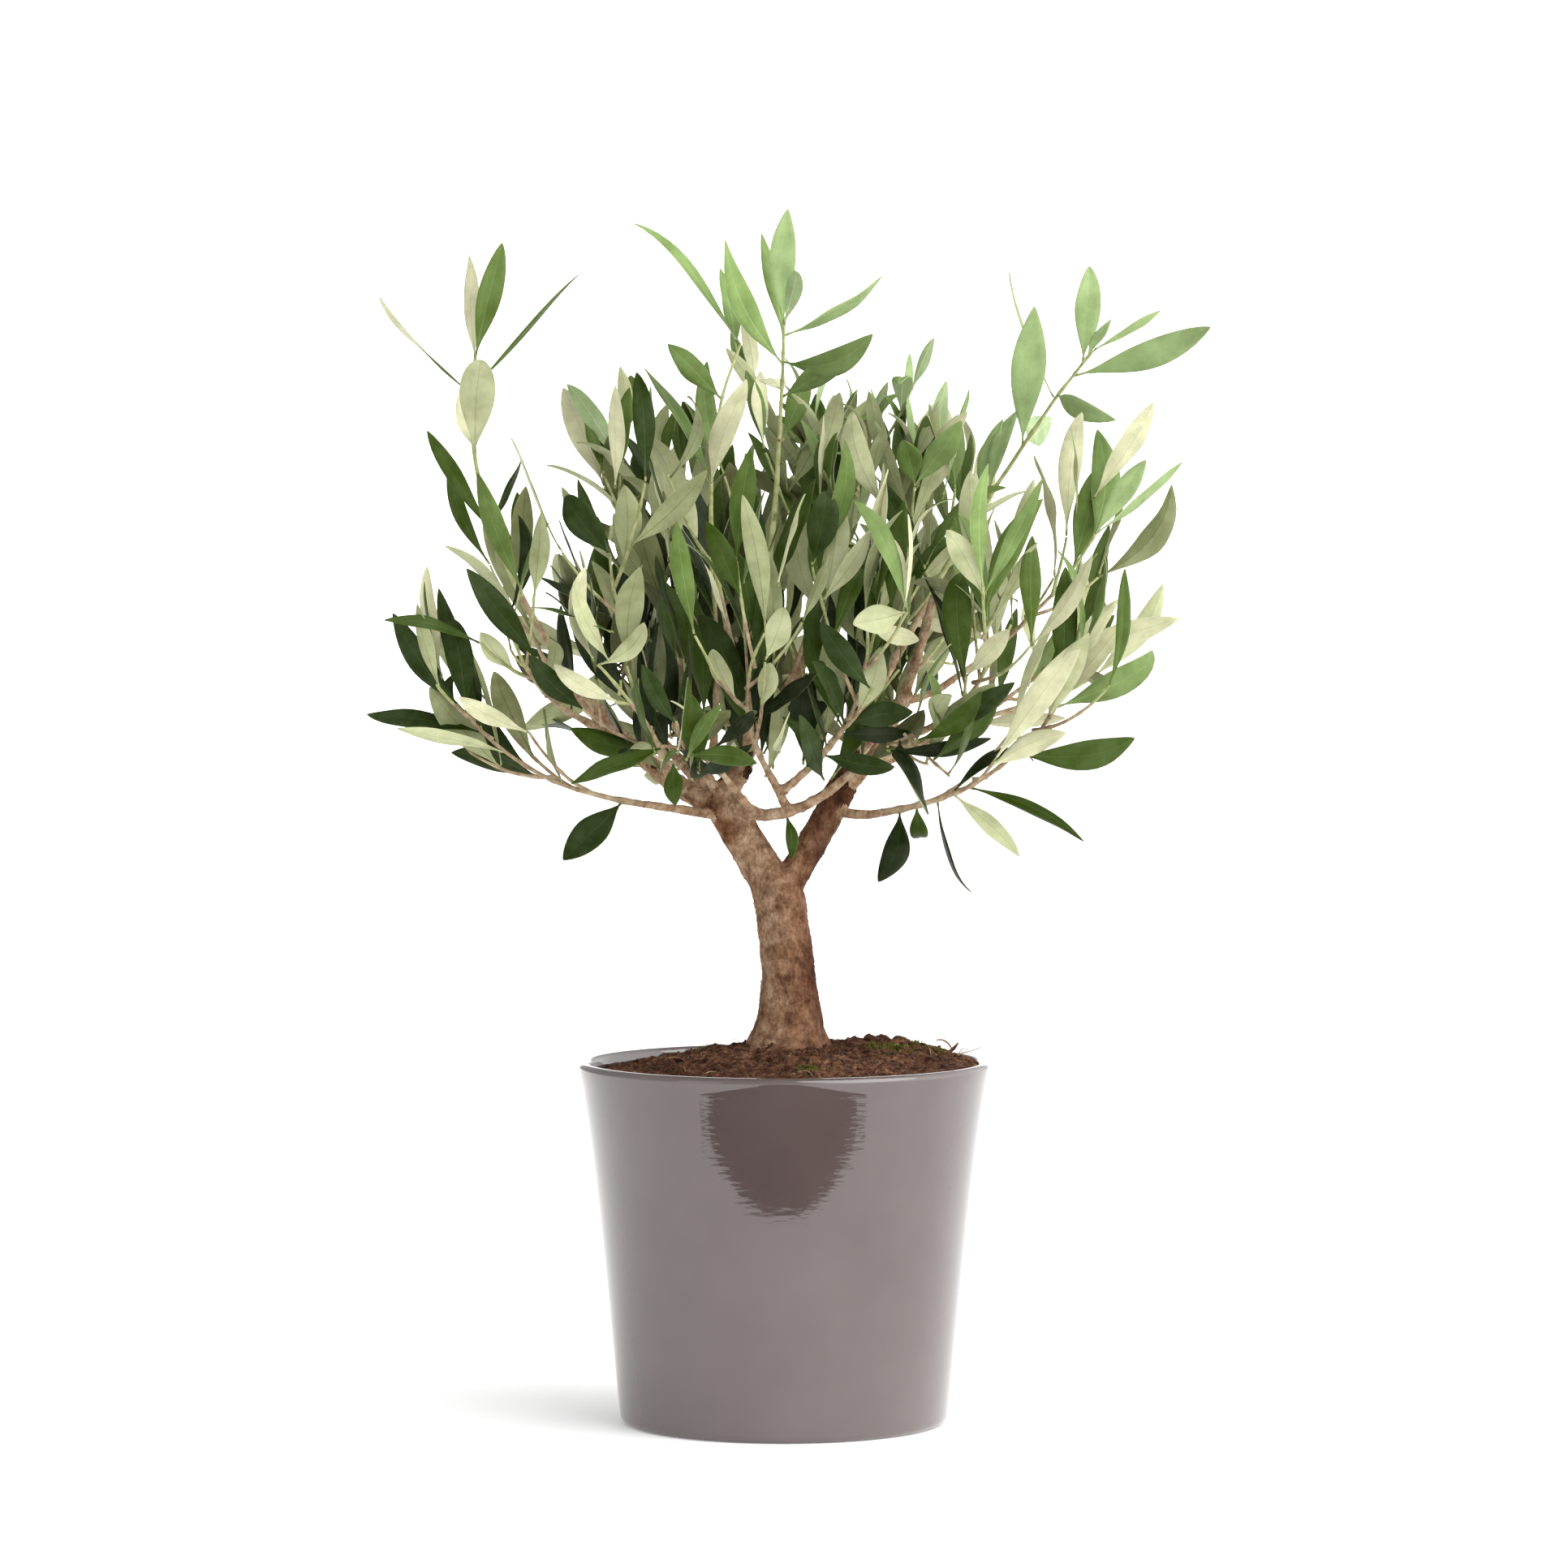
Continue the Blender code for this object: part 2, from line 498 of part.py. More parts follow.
def make_limbs(material):
    """The trunk, then each limb and bough, cut a gap clear of those before it. Returns paths and radii."""
    trunk_path = elbow_curve(TRUNK_FOOT, TRUNK_ELBOW, TRUNK_TOP, TRUNK_RINGS)
    trunk_path[1].xy = TRUNK_FOOT.xy  # upright here, so that the first ring is level
    path, radii = dome_end(trunk_path, trunk_radii())
    shapes = {"trunk": (path, radii)}
    made = {"trunk": (TRUNK_SIDES, root_lobes)}
    object_from("trunk", tube(path, radii, TRUNK_SIDES, root_lobes), material)
    for limb in LIMBS:
        path, radii = limb_shape(limb, shapes)
        if limb.name.startswith("limb_"):
            path, radii = dome_end(path, radii)
        obj = object_from(limb.name, tube(path, radii, limb_sides(limb)), material)
        for other, (sides, lobes) in made.items():
            other_path, other_radii = shapes[other]
            inflated = [radius + GAP for radius in other_radii]
            heading = (other_path[-1] - other_path[-2]).normalized()
            longer = other_path[:-1] + [other_path[-1] + heading * GAP]
            cutter = object_from("cutter", tube(longer, inflated, sides, lobes), material)
            if boxes_meet([v.co for v in obj.data.vertices], [v.co for v in cutter.data.vertices]):
                apply_boolean(obj, "DIFFERENCE", cutter)
            bpy.data.objects.remove(cutter)
        keep_body_at(obj, path[-1])
        shapes[limb.name] = (path, radii)
        made[limb.name] = (limb_sides(limb), None)
    return shapes


# ---------------------------------------------------------------- the rule of the foliage


def segments_of(path):
    points = np.array([tuple(p) for p in path])
    return points[:-1], points[1:]


def distances(points, starts, ends):
    """How far each point is from each segment, as a table."""
    line = ends - starts
    share = ((points[:, None] - starts) * line).sum(2) / np.maximum((line * line).sum(1), 1e-12)
    nearest = starts + np.clip(share, 0, 1)[..., None] * line
    return np.linalg.norm(points[:, None] - nearest, axis=2)


class Space:
    """The room that one mass keeps to: nearer to its own stem than to any other, and clear of the limbs."""

    def __init__(self, own, stems, limb_shapes, outline):
        self.own = segments_of(stems[own])
        others = [segments_of(path) for name, path in stems.items() if name != own]
        self.others = tuple(np.concatenate(ends) for ends in zip(*others))
        limbs = [segments_of(path) for path, _ in limb_shapes]
        self.limbs = tuple(np.concatenate(ends) for ends in zip(*limbs))
        self.limb_radii = np.concatenate([np.maximum(radii[:-1], radii[1:]) for _, radii in limb_shapes])
        self.taken = np.concatenate([leaf_samples(leaf) for leaf in outline])

    def holds(self, points):
        if points[:, 2].min() < LOWEST_LEAF or points[:, 2].max() > HIGHEST_LEAF:
            return False
        if np.hypot(points[:, 0], points[:, 1]).max() > WIDEST_LEAF:
            return False
        own = distances(points, *self.own).min(1)
        other = distances(points, *self.others).min(1)
        if (own + SPACE_MARGIN > other).any():
            return False
        limb = distances(points, *self.limbs) - self.limb_radii
        return limb.min() > LIMB_MARGIN

    def free(self, points):
        gaps = np.linalg.norm(points[:, None] - self.taken, axis=2)
        return gaps.min() > LEAF_SPACING

    def take(self, points):
        self.taken = np.concatenate([self.taken, points])


def stem_path(mass, bough_path):
    """The mass's stem: it carries on from the bough's end, a gap clear of it, and bends to its tip."""
    heading = (bough_path[-1] - bough_path[-2]).normalized()
    start = bough_path[-1] + heading * GAP
    tip = metres(mass.tip)
    reach = (tip - start).length
    return elbow_curve(start, start + heading * reach * STEM_REACH, tip, max(3, round(reach / STEM_STEP)))


def side_twig(mass, index, stem, rng):
    """One side twig: it leaves the stem at an angle, further round for each one, and turns up."""
    low, high = SIDE_SHARES
    share = low + (high - low) * (index + rng.uniform(*SIDE_PLACE)) / mass.sides
    start, tangent, side = along(stem, share * path_length(stem))
    turn = math.radians(SPIRAL * index + rng.uniform(-SIDE_WANDER, SIDE_WANDER) + SEED_TURN * mass.seed)
    radial = side * math.cos(turn) + tangent.cross(side) * math.sin(turn)
    angle = math.radians(rng.uniform(*SIDE_ANGLE))
    heading = tangent * math.cos(angle) + radial * math.sin(angle)
    shorter = (SIDE_LENGTHS[0] - SIDE_LENGTHS[1]) * share
    length = mass.side * 0.001 * (SIDE_LENGTHS[0] - shorter) * rng.uniform(*SIDE_SPREAD)
    elbow = start + heading * length * TWIG_ELBOW
    tip = start + heading * length + Vector((0, 0, length * TWIG_LIFT))
    return elbow_curve(start, elbow, tip, max(2, round(length / STEM_STEP)))


def twig_samples(path):
    length = path_length(path)
    count = max(2, round(length / TWIG_SAMPLE))
    return np.array([tuple(along(path, length * i / count)[0]) for i in range(count + 1)])


def leaf_point(leaf, share):
    """The point at that share of the leaf's middle line, and the blade's normal there."""
    turned = leaf.bend * share
    if abs(leaf.bend) < 1e-3:
        return leaf.root + leaf.axis * leaf.length * share, leaf.normal
    ahead = math.sin(turned) / leaf.bend
    down = (1 - math.cos(turned)) / leaf.bend
    point = leaf.root + (leaf.axis * ahead - leaf.normal * down) * leaf.length
    return point, leaf.normal * math.cos(turned) + leaf.axis * math.sin(turned)


def leaf_samples(leaf):
    """Points over the blade, leaving out its root."""
    side = leaf.axis.cross(leaf.normal)
    points = []
    for share in LEAF_SAMPLES:
        centre, normal = leaf_point(leaf, share)
        half = leaf.width / 2 * (1 - abs(share - LEAF_MIDDLE) / 0.5)
        points.append(centre)
        for way in (-1, 1) if half > LEAST_HALF_WIDTH else ():
            points.append(centre + (side * way + normal * LEAF_FOLD) * half)
    return np.array([tuple(p) for p in points])


def one_leaf(mass, path, distance, share, out, rng):
    """A leaf that leaves the twig on the side `out`, upright near the twig's end and spread at its foot."""
    root, tangent, _ = along(path, max(distance - LEAF_SINK, 0.0))
    out = (out - tangent * out.dot(tangent)).normalized()
    low, high = LEAF_ANGLE
    angle = math.radians(low + (high - low) * share + rng.uniform(-LEAF_WANDER, LEAF_WANDER))
    axis = (tangent * math.cos(angle) + out * math.sin(angle) + Vector((0, 0, LEAF_RISE))).normalized()
    normal = (tangent - axis * tangent.dot(axis)).normalized()
    turn = math.radians(rng.uniform(-LEAF_TURN, LEAF_TURN))
    normal = normal * math.cos(turn) + axis.cross(normal) * math.sin(turn)
    grown = 1 - LEAF_SHORTER[0] * (1 - share) ** 2 - LEAF_SHORTER[1] * share**4
    length = mass.leaf * 0.001 * grown * rng.uniform(*LEAF_LENGTHS)
    bend = math.radians(rng.gauss(*LEAF_BEND))
    return Leaf(root, axis, normal, length, length * rng.uniform(*LEAF_SLENDER), bend)


def placed_leaf(placed, stem):
    """A leaf that ends at its given tip and shows the face that it is given."""
    length = path_length(stem)
    root, _, _ = along(stem, min(placed.at * length, length - 0.002))
    chord = metres(placed.tip) - root
    reach = chord.length
    chord.normalize()
    normal = FRONT - chord * FRONT.dot(chord)
    normal.normalize()
    turn = math.radians(placed.face)
    normal = normal * math.cos(turn) + chord.cross(normal) * math.sin(turn)
    half_bend = math.radians(placed.bend) / 2
    axis = chord * math.cos(half_bend) + normal * math.sin(half_bend)
    normal = normal * math.cos(half_bend) - chord * math.sin(half_bend)
    if half_bend:
        reach *= half_bend / math.sin(half_bend)
    return Leaf(root, axis, normal, reach, placed.width * 0.001, 2 * half_bend)


def leaves_on(mass, path, space, rng):
    """Pairs of leaves along a twig, each pair turned from the last. A leaf with no room is left out."""
    if not mass.step:
        return []
    length = path_length(path)
    count = max(1, round((length - BARE) / (mass.step * 0.001)))
    turn = PAIR_START + PAIR_TURN * rng.randrange(3)
    found = []
    for i in range(count + 1):
        distance = BARE + (length - BARE - 0.001) * i / count
        _, tangent, side = along(path, distance)
        for way in (0, 180):
            for _ in range(LEAF_TRIES):
                angle = math.radians(turn + way + rng.uniform(-PAIR_WANDER, PAIR_WANDER))
                out = side * math.cos(angle) + tangent.cross(side) * math.sin(angle)
                leaf = one_leaf(mass, path, distance, distance / length, out, rng)
                samples = leaf_samples(leaf)
                if space.holds(samples) and space.free(samples):
                    space.take(samples)
                    found.append(leaf)
                    break
        turn += PAIR_TURN
    return found


def outline_leaves(stems):
    """The placed leaves of each mass."""
    found = {name: [] for name in stems}
    for placed in PLACED:
        found[placed.mass].append(placed_leaf(placed, stems[placed.mass]))
    return found


def grow(mass, stems, limb_shapes, outline):
    """All the twigs of a mass as (path, foot radius), its stem first, and all its leaves."""
    rng = random.Random(mass.seed)
    every_placed = [leaf for placed in outline.values() for leaf in placed]
    space = Space(mass.name, stems, limb_shapes.values(), every_placed)
    stem = stems[mass.name]
    foot = limb_shapes[mass.bough][1][-1]
    twigs = [(stem, foot)]
    for index in range(mass.sides):
        for _ in range(LEAF_TRIES):
            path = side_twig(mass, index, stem, rng)
            samples = twig_samples(path)
            if space.holds(samples[1:]):
                twigs.append((path, SIDE_RADIUS))
                break
    for path, _ in twigs:
        space.take(twig_samples(path))
    leaves = list(outline[mass.name])
    for path, _ in twigs:
        leaves += leaves_on(mass, path, space, rng)
    return twigs, leaves


# ---------------------------------------------------------------- masses of foliage


def twig_mesh(path, foot):
    count = len(path) - 1
    radii = [foot + (TWIG_TIP_RADIUS - foot) * i / count for i in range(count + 1)]
    return tube(path, radii, 3)


def leaf_mesh(leaf):
    """A blade of eight faces: its root and tip, two edges, and a top and an underside along the middle."""
    side = leaf.axis.cross(leaf.normal)
    middle, normal = leaf_point(leaf, LEAF_MIDDLE)
    tip, _ = leaf_point(leaf, 1.0)
    half = leaf.width / 2
    thick = leaf.length * LEAF_THICKNESS / 2
    bm = bmesh.new()
    root, left, end, right, top, under = [
        bm.verts.new(p)
        for p in (
            leaf.root,
            middle + (side + normal * LEAF_FOLD) * half,
            tip,
            middle + (normal * LEAF_FOLD - side) * half,
            middle + normal * thick,
            middle - normal * thick,
        )
    ]
    outline = (root, left, end, right)
    for a, b in zip(outline, outline[1:] + outline[:1]):
        bm.faces.new((a, b, top))
        bm.faces.new((b, a, under))
    return bm


def make_mass(mass, stems, limb_shapes, outline, material):
    """One solid: the stem with its side twigs and leaves fused on."""
    twigs, leaves = grow(mass, stems, limb_shapes, outline)
    stem = object_from(mass.name, twig_mesh(*twigs[0]), material)
    parts = bpy.data.collections.new(mass.name + "_parts")
    bpy.context.scene.collection.children.link(parts)
    meshes = [twig_mesh(path, foot) for path, foot in twigs[1:]] + [leaf_mesh(leaf) for leaf in leaves]
    for bm in meshes:
        piece = object_from("piece", bm, material)
        bpy.context.scene.collection.objects.unlink(piece)
        parts.objects.link(piece)
    apply_boolean(stem, "UNION", parts)
    for piece in list(parts.objects):
        bpy.data.objects.remove(piece)
    bpy.data.collections.remove(parts)


def main():
    clear_scene()
    glaze = principled("taupe_glaze", (0.30, 0.255, 0.24), 0.15)
    earth = principled("potting_soil", (0.07, 0.04, 0.025), 0.95)
    bark = principled("bark", (0.30, 0.21, 0.15), 0.85)
    leafage = principled("olive_leaf", (0.13, 0.19, 0.09), 0.5)
    make_pot(glaze)
    make_soil(earth)
    limb_shapes = make_limbs(bark)
    stems = {mass.name: stem_path(mass, limb_shapes[mass.bough][0]) for mass in MASSES}
    outline = outline_leaves(stems)
    for mass in MASSES:
        make_mass(mass, stems, limb_shapes, outline, leafage)


main()
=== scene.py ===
"""The looks of a young olive tree in a glazed pot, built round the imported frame.

Metres, +Z up, the origin at the centre of the pot's flat underside and -Y towards the camera. The limbs,
boughs, twigs and leaves follow the same rule and seeds as the frame's own masses, and carry it on to finer
twigs and more leaves within the same room.
"""

import json
import math
import random
from collections import namedtuple

import bmesh
import bpy
import numpy as np
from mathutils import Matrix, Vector, noise
from mathutils.bvhtree import BVHTree

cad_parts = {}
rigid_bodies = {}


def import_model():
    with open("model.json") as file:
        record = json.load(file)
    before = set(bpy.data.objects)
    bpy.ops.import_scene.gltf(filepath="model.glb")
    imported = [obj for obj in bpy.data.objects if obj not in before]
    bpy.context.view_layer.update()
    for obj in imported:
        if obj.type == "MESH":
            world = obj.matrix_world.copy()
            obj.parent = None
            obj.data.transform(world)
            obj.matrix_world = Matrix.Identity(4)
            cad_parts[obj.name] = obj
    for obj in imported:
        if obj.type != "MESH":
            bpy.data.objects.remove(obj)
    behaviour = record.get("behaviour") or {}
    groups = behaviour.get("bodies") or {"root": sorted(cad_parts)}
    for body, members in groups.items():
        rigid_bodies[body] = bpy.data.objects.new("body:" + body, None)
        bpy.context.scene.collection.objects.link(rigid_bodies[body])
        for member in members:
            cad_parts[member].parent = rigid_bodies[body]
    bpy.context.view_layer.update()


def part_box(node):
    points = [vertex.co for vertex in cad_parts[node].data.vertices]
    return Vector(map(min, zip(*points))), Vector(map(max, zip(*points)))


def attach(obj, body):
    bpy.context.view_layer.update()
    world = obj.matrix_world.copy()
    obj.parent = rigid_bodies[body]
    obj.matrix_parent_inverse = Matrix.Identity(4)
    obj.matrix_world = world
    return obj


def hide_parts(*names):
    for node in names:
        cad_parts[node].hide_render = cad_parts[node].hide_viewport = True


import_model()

GAP = 0.0003  # what the frame's solids leave between each other

# The camera: level with the lower crown, looking slightly down through a long lens.
CAMERA_PLACE = (0.0, -2.682, 0.390)
CAMERA_PITCH = 2.37  # degrees below the horizon
CAMERA_LENS, CAMERA_SENSOR = 141.3, 36

# The pot, as in the frame.
POT_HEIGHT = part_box("pot")[1].z
POT_FOOT_RADIUS = 0.0716
POT_SLOPE = 0.100
POT_FLARE = 0.0031
POT_FLARE_POWER = 5
POT_WALL = 0.005
POT_FLOOR = 0.012
POT_FOOT_ROUND = 0.0035
POT_SHOULDER = POT_HEIGHT - POT_WALL / 2
POT_SEGMENTS = 192
POT_SHARP = 40  # degrees from which on an edge isn't smoothed
POT_RINGS = 30
FOOT_STEPS = 5
RIM_STEPS = 8

# The soil, as in the frame.
SOIL_EDGE_DROP = 0.0035
SOIL_DOME = 0.0075
SOIL_TILT = 0.0026  # higher at the right edge, and as much lower at the left one
SOIL_MOUND = (0.046, 0.012, 0.0052, 0.034)  # x, y, height and spread
TRUNK_BED_Z = 0.1640
TRUNK_BED_RADIUS = 0.024
SOIL_RINGS = 90
SOIL_SEGMENTS = 380

# The trunk, as in the frame.
TRUNK_FOOT = Vector((0.0020, 0.0, TRUNK_BED_Z + GAP))
TRUNK_ELBOW = Vector((0.0035, 0.0005, 0.2000))
TRUNK_TOP = Vector((-0.0030, 0.0, 0.2330))
TRUNK_RADIUS = 0.0108
TRUNK_FLARE = 0.0072
TRUNK_FLARE_FALL = 0.18
TRUNK_TAPER = 0.06
ROOT_LOBES = 5
ROOT_LOBE_DEPTH = 0.10
ROOT_LOBE_START = 0.7
ROOT_LOBE_UNEVEN = 0.3
TRUNK_RINGS = 9
DOME_HEIGHT = 0.45
DOME_RADIUS = 0.62
LIMB_SWELLING = 0.22
LIMB_SWELLING_FALL = 6
LIMB_STEP = 0.013
FRONT = Vector((0, -1, 0))

# Limbs and boughs, as in the frame, in millimetres: each leaves its parent's axis at a share of its length.
Limb = namedtuple("Limb", "name parent at elbow tip radii")
LIMBS = [Limb(*row) for row in (
    ("limb_left", "trunk", 0.90, (-10.5, -1, 243), (-25.8, -2, 270), (8.5, 8.0)),
    ("limb_right", "trunk", 0.90, (7.5, 2, 242), (26.2, 4, 279), (6.6, 6.2)),
    ("bough_left", "limb_left", 0.90, (-55, 6, 277), (-82, 10, 312), (5.2, 2.8)),
    ("bough_centre", "limb_left", 1.00, (-15, 2, 286), (-12.5, 4, 320), (5.6, 2.6)),
    ("bough_cross", "limb_left", 0.93, (0, -17, 257), (29, -30, 285), (3.0, 1.8)),
    ("bough_low_left", "limb_left", 0.80, (-45, -12, 268.5), (-64, -18, 271.5), (2.2, 1.6)),
    ("bough_inner_left", "limb_left", 0.96, (-34.5, -10, 286), (-48, -16, 306), (2.2, 1.6)),
    ("bough_inner_up", "bough_left", 0.18, (-30, 4, 286), (-30, 2, 310), (2.4, 1.7)),
    ("bough_back_left", "limb_left", 0.92, (-40, 26, 282), (-56, 46, 298), (3.4, 2.2)),
    ("bough_front_left", "bough_left", 0.34, (-50, -16, 281), (-52, -33, 291), (2.4, 1.8)),
    ("bough_left_front", "bough_left", 0.58, (-76, -6, 302), (-88, -18, 308), (2.2, 1.7)),
    ("bough_left_back", "bough_left", 0.70, (-78, 30, 306), (-92, 46, 316), (2.4, 1.8)),
    ("bough_mid", "bough_cross", 0.48, (-2, -24, 277), (-8, -36, 288), (2.0, 1.5)),
    ("bough_front_right", "bough_mid", 0.40, (6, -34, 282), (15, -43, 292), (1.9, 1.5)),
    ("bough_front_low", "bough_cross", 0.26, (-16, -30, 270), (-24, -44, 282), (1.9, 1.5)),
    ("bough_centre_right", "bough_centre", 0.55, (4, 10, 312), (10, 14, 336), (2.4, 1.8)),
    ("bough_centre_left", "bough_centre", 0.78, (-20, -4, 326), (-23.5, -8, 342), (2.2, 1.7)),
    ("bough_back_centre", "bough_centre", 0.30, (-14, 30, 298), (-15, 48, 316), (3.0, 2.0)),
    ("bough_back_up", "bough_back_centre", 0.55, (4, 34, 318), (8, 44, 336), (2.2, 1.7)),
    ("bough_back_left_up", "bough_back_left", 0.45, (-38, 32, 298), (-44, 40, 324), (2.2, 1.7)),
    ("bough_low_right", "limb_right", 0.74, (34, -6, 264), (45.5, -12, 267.5), (2.2, 1.7)),
    ("bough_up_right", "limb_right", 1.00, (29, 8, 300), (39, 12, 326), (4.2, 2.4)),
    ("bough_right", "limb_right", 0.92, (48, -8, 290), (65, -20, 362), (3.4, 1.9)),
    ("bough_back_right", "limb_right", 0.84, (24, 30, 278), (40, 52, 298), (3.6, 2.2)),
    ("bough_up_right_out", "bough_up_right", 0.58, (44, 18, 324), (56, 22, 346), (2.4, 1.8)),
    ("bough_up_right_back", "bough_up_right", 0.76, (40, 34, 328), (48, 46, 344), (2.2, 1.7)),
    ("bough_right_mid", "bough_right", 0.18, (54, 10, 294), (68, 16, 300), (2.0, 1.6)),
    ("bough_right_front", "bough_right", 0.32, (58, -24, 300), (67, -33, 307), (1.8, 1.5)),
    ("bough_right_out", "bough_right", 0.50, (63, -6, 316), (74, -3, 325), (1.8, 1.5)),
    ("bough_back_low", "bough_back_right", 0.55, (48, 46, 286), (62, 56, 294), (2.0, 1.6)),
)]

# Masses of foliage, as in the frame, in millimetres.
Mass = namedtuple("Mass", "name bough tip sides side step leaf seed")
MASSES = [Mass(*row) for row in (
    ("leaves_low_left", "bough_low_left", (-148, -36, 328), 6, 46, 15, 50, 2),
    ("leaves_front_left", "bough_front_left", (-82, -77, 336), 5, 38, 15, 50, 36),
    ("shoot_top_left", "bough_left", (-134, -6, 464), 0, 40, 0, 62, 0),
    ("leaves_left_front", "bough_left_front", (-118, -50, 356), 5, 36, 14, 48, 2),
    ("leaves_left_back", "bough_left_back", (-118, 70, 364), 4, 42, 16, 50, 4),
    ("leaves_upper_left", "bough_inner_left", (-72, -36, 410), 5, 42, 14, 52, 2),
    ("leaves_upper_mid", "bough_inner_up", (-40, -20, 408), 4, 42, 14, 52, 15),
    ("shoot_top_centre", "bough_centre", (0, 4, 479), 3, 46, 0, 58, 0),
    ("leaves_cross", "bough_cross", (56, -78, 300), 5, 36, 14, 50, 13),
    ("leaves_mid_front", "bough_mid", (-6, -82, 350), 5, 44, 15, 50, 24),
    ("leaves_front_right", "bough_front_right", (34, -74, 356), 5, 44, 15, 50, 2),
    ("leaves_front_low", "bough_front_low", (-52, -82, 298), 4, 36, 14, 46, 39),
    ("leaves_low_right", "bough_low_right", (128, -46, 336), 6, 40, 17, 54, 35),
    ("shoot_right_out", "bough_right_out", (135, -10, 388), 3, 42, 17, 52, 23),
    ("leaves_right_front", "bough_right_front", (86, -66, 352), 5, 40, 15, 50, 27),
    ("leaves_right_mid", "bough_right_mid", (130, 24, 344), 5, 42, 16, 52, 27),
    ("leaves_up_right", "bough_up_right", (56, -4, 420), 5, 44, 14, 50, 18),
    ("shoot_top_right", "bough_up_right_out", (135, 16, 468), 0, 45, 0, 60, 0),
    ("leaves_up_right_back", "bough_up_right_back", (88, 70, 405), 4, 44, 16, 52, 36),
    ("leaves_centre_right", "bough_centre_right", (18, 14, 424), 4, 44, 15, 52, 25),
    ("shoot_top_mid", "bough_centre_left", (-19, -6, 470), 2, 40, 0, 56, 0),
    ("leaves_back_centre", "bough_back_centre", (-20, 100, 370), 5, 44, 18, 52, 13),
    ("leaves_back_up", "bough_back_up", (18, 70, 415), 5, 44, 18, 52, 17),
    ("leaves_back_left_up", "bough_back_left_up", (-64, 56, 402), 4, 44, 18, 52, 32),
    ("leaves_back_left", "bough_back_left", (-82, 104, 336), 4, 44, 18, 50, 20),
    ("leaves_back_right", "bough_back_right", (64, 110, 350), 4, 44, 18, 50, 34),
    ("leaves_back_low", "bough_back_low", (120, 78, 314), 4, 42, 16, 50, 28),
)]

# Leaves that shape the crown's outline, as in the frame, by the mass that carries them: each ends at a tip,
# and faces the front with its upper side at 0 degrees and with its underside at 180.
Placed = namedtuple("Placed", "at tip width face bend")
PLACED = {
    "leaves_low_left": [
        (0.05, (-95, -34, 247), 14, 15, -12),
        (0.70, (-180, -34, 300), 10, 50, 12),
    ],
    "leaves_low_right": [
        (0.04, (37, -30, 240), 12, 20, -10),
        (0.11, (59, -2, 249), 8, 10, 0),
        (0.20, (76, -30, 232), 9, 75, 10),
        (0.27, (102, -44, 253), 9, 140, 12),
        (0.33, (129, -30, 256), 10, 50, -14),
        (0.56, (153, -24, 303), 13, 10, 12),
        (0.72, (130, -60, 346), 12, 170, 4),
        (0.79, (169, -50, 331), 14, 30, 10),
    ],
    "leaves_right_mid": [(0.78, (172, 10, 353), 12, 160, -16)],
    "shoot_top_left": [
        (0.52, (-156, -20, 431), 9, 60, -10),
        (0.55, (-112, 30, 420), 9, 60, -10),
        (0.74, (-126, -20, 470), 16, 175, 4),
        (0.76, (-140, 44, 452), 12, 200, 10),
        (0.90, (-179, -24, 487), 9, 70, 10),
        (0.92, (-94, 10, 506), 8, 70, 6),
        (1.00, (-134, 4, 507), 11, 150, 0),
        (1.00, (-118, -14, 511), 11, 20, -8),
    ],
    "shoot_top_centre": [
        (0.80, (30, -10, 466), 12, 30, 10),
        (0.82, (-6, 52, 462), 12, 200, 10),
        (0.89, (-22, -24, 517), 13, 20, 8),
        (0.90, (36, -20, 478), 12, 20, 60),
        (0.96, (-12, 20, 518), 9, 30, 8),
        (0.97, (44, 16, 501), 9, 50, 14),
        (1.00, (4, 0, 527), 12, 15, -6),
        (1.00, (10, -14, 502), 8, 150, 6),
    ],
    "shoot_top_mid": [
        (0.80, (-50, -16, 470), 11, 20, 10),
        (0.97, (-29, 10, 503), 10, 30, 8),
        (1.00, (-57, -10, 529), 9, 60, -10),
    ],
    "shoot_top_right": [
        (0.64, (111, 4, 486), 16, 15, 4),
        (0.66, (118, 62, 440), 13, 200, 10),
        (0.81, (96, 28, 502), 8, 80, -8),
        (0.83, (140, -16, 436), 10, 30, 50),
        (0.90, (184, -6, 482), 13, 25, -8),
        (0.95, (137, 12, 505), 12, 20, 6),
        (0.97, (142, -6, 482), 6, 40, 0),
        (1.00, (164, 20, 483), 6, 70, 8),
    ],
    "shoot_right_out": [
        (0.97, (131, 10, 433), 13, 15, -6),
        (0.99, (156, -20, 419), 10, 30, -10),
        (1.00, (172, 6, 419), 8, 70, 8),
    ],
}

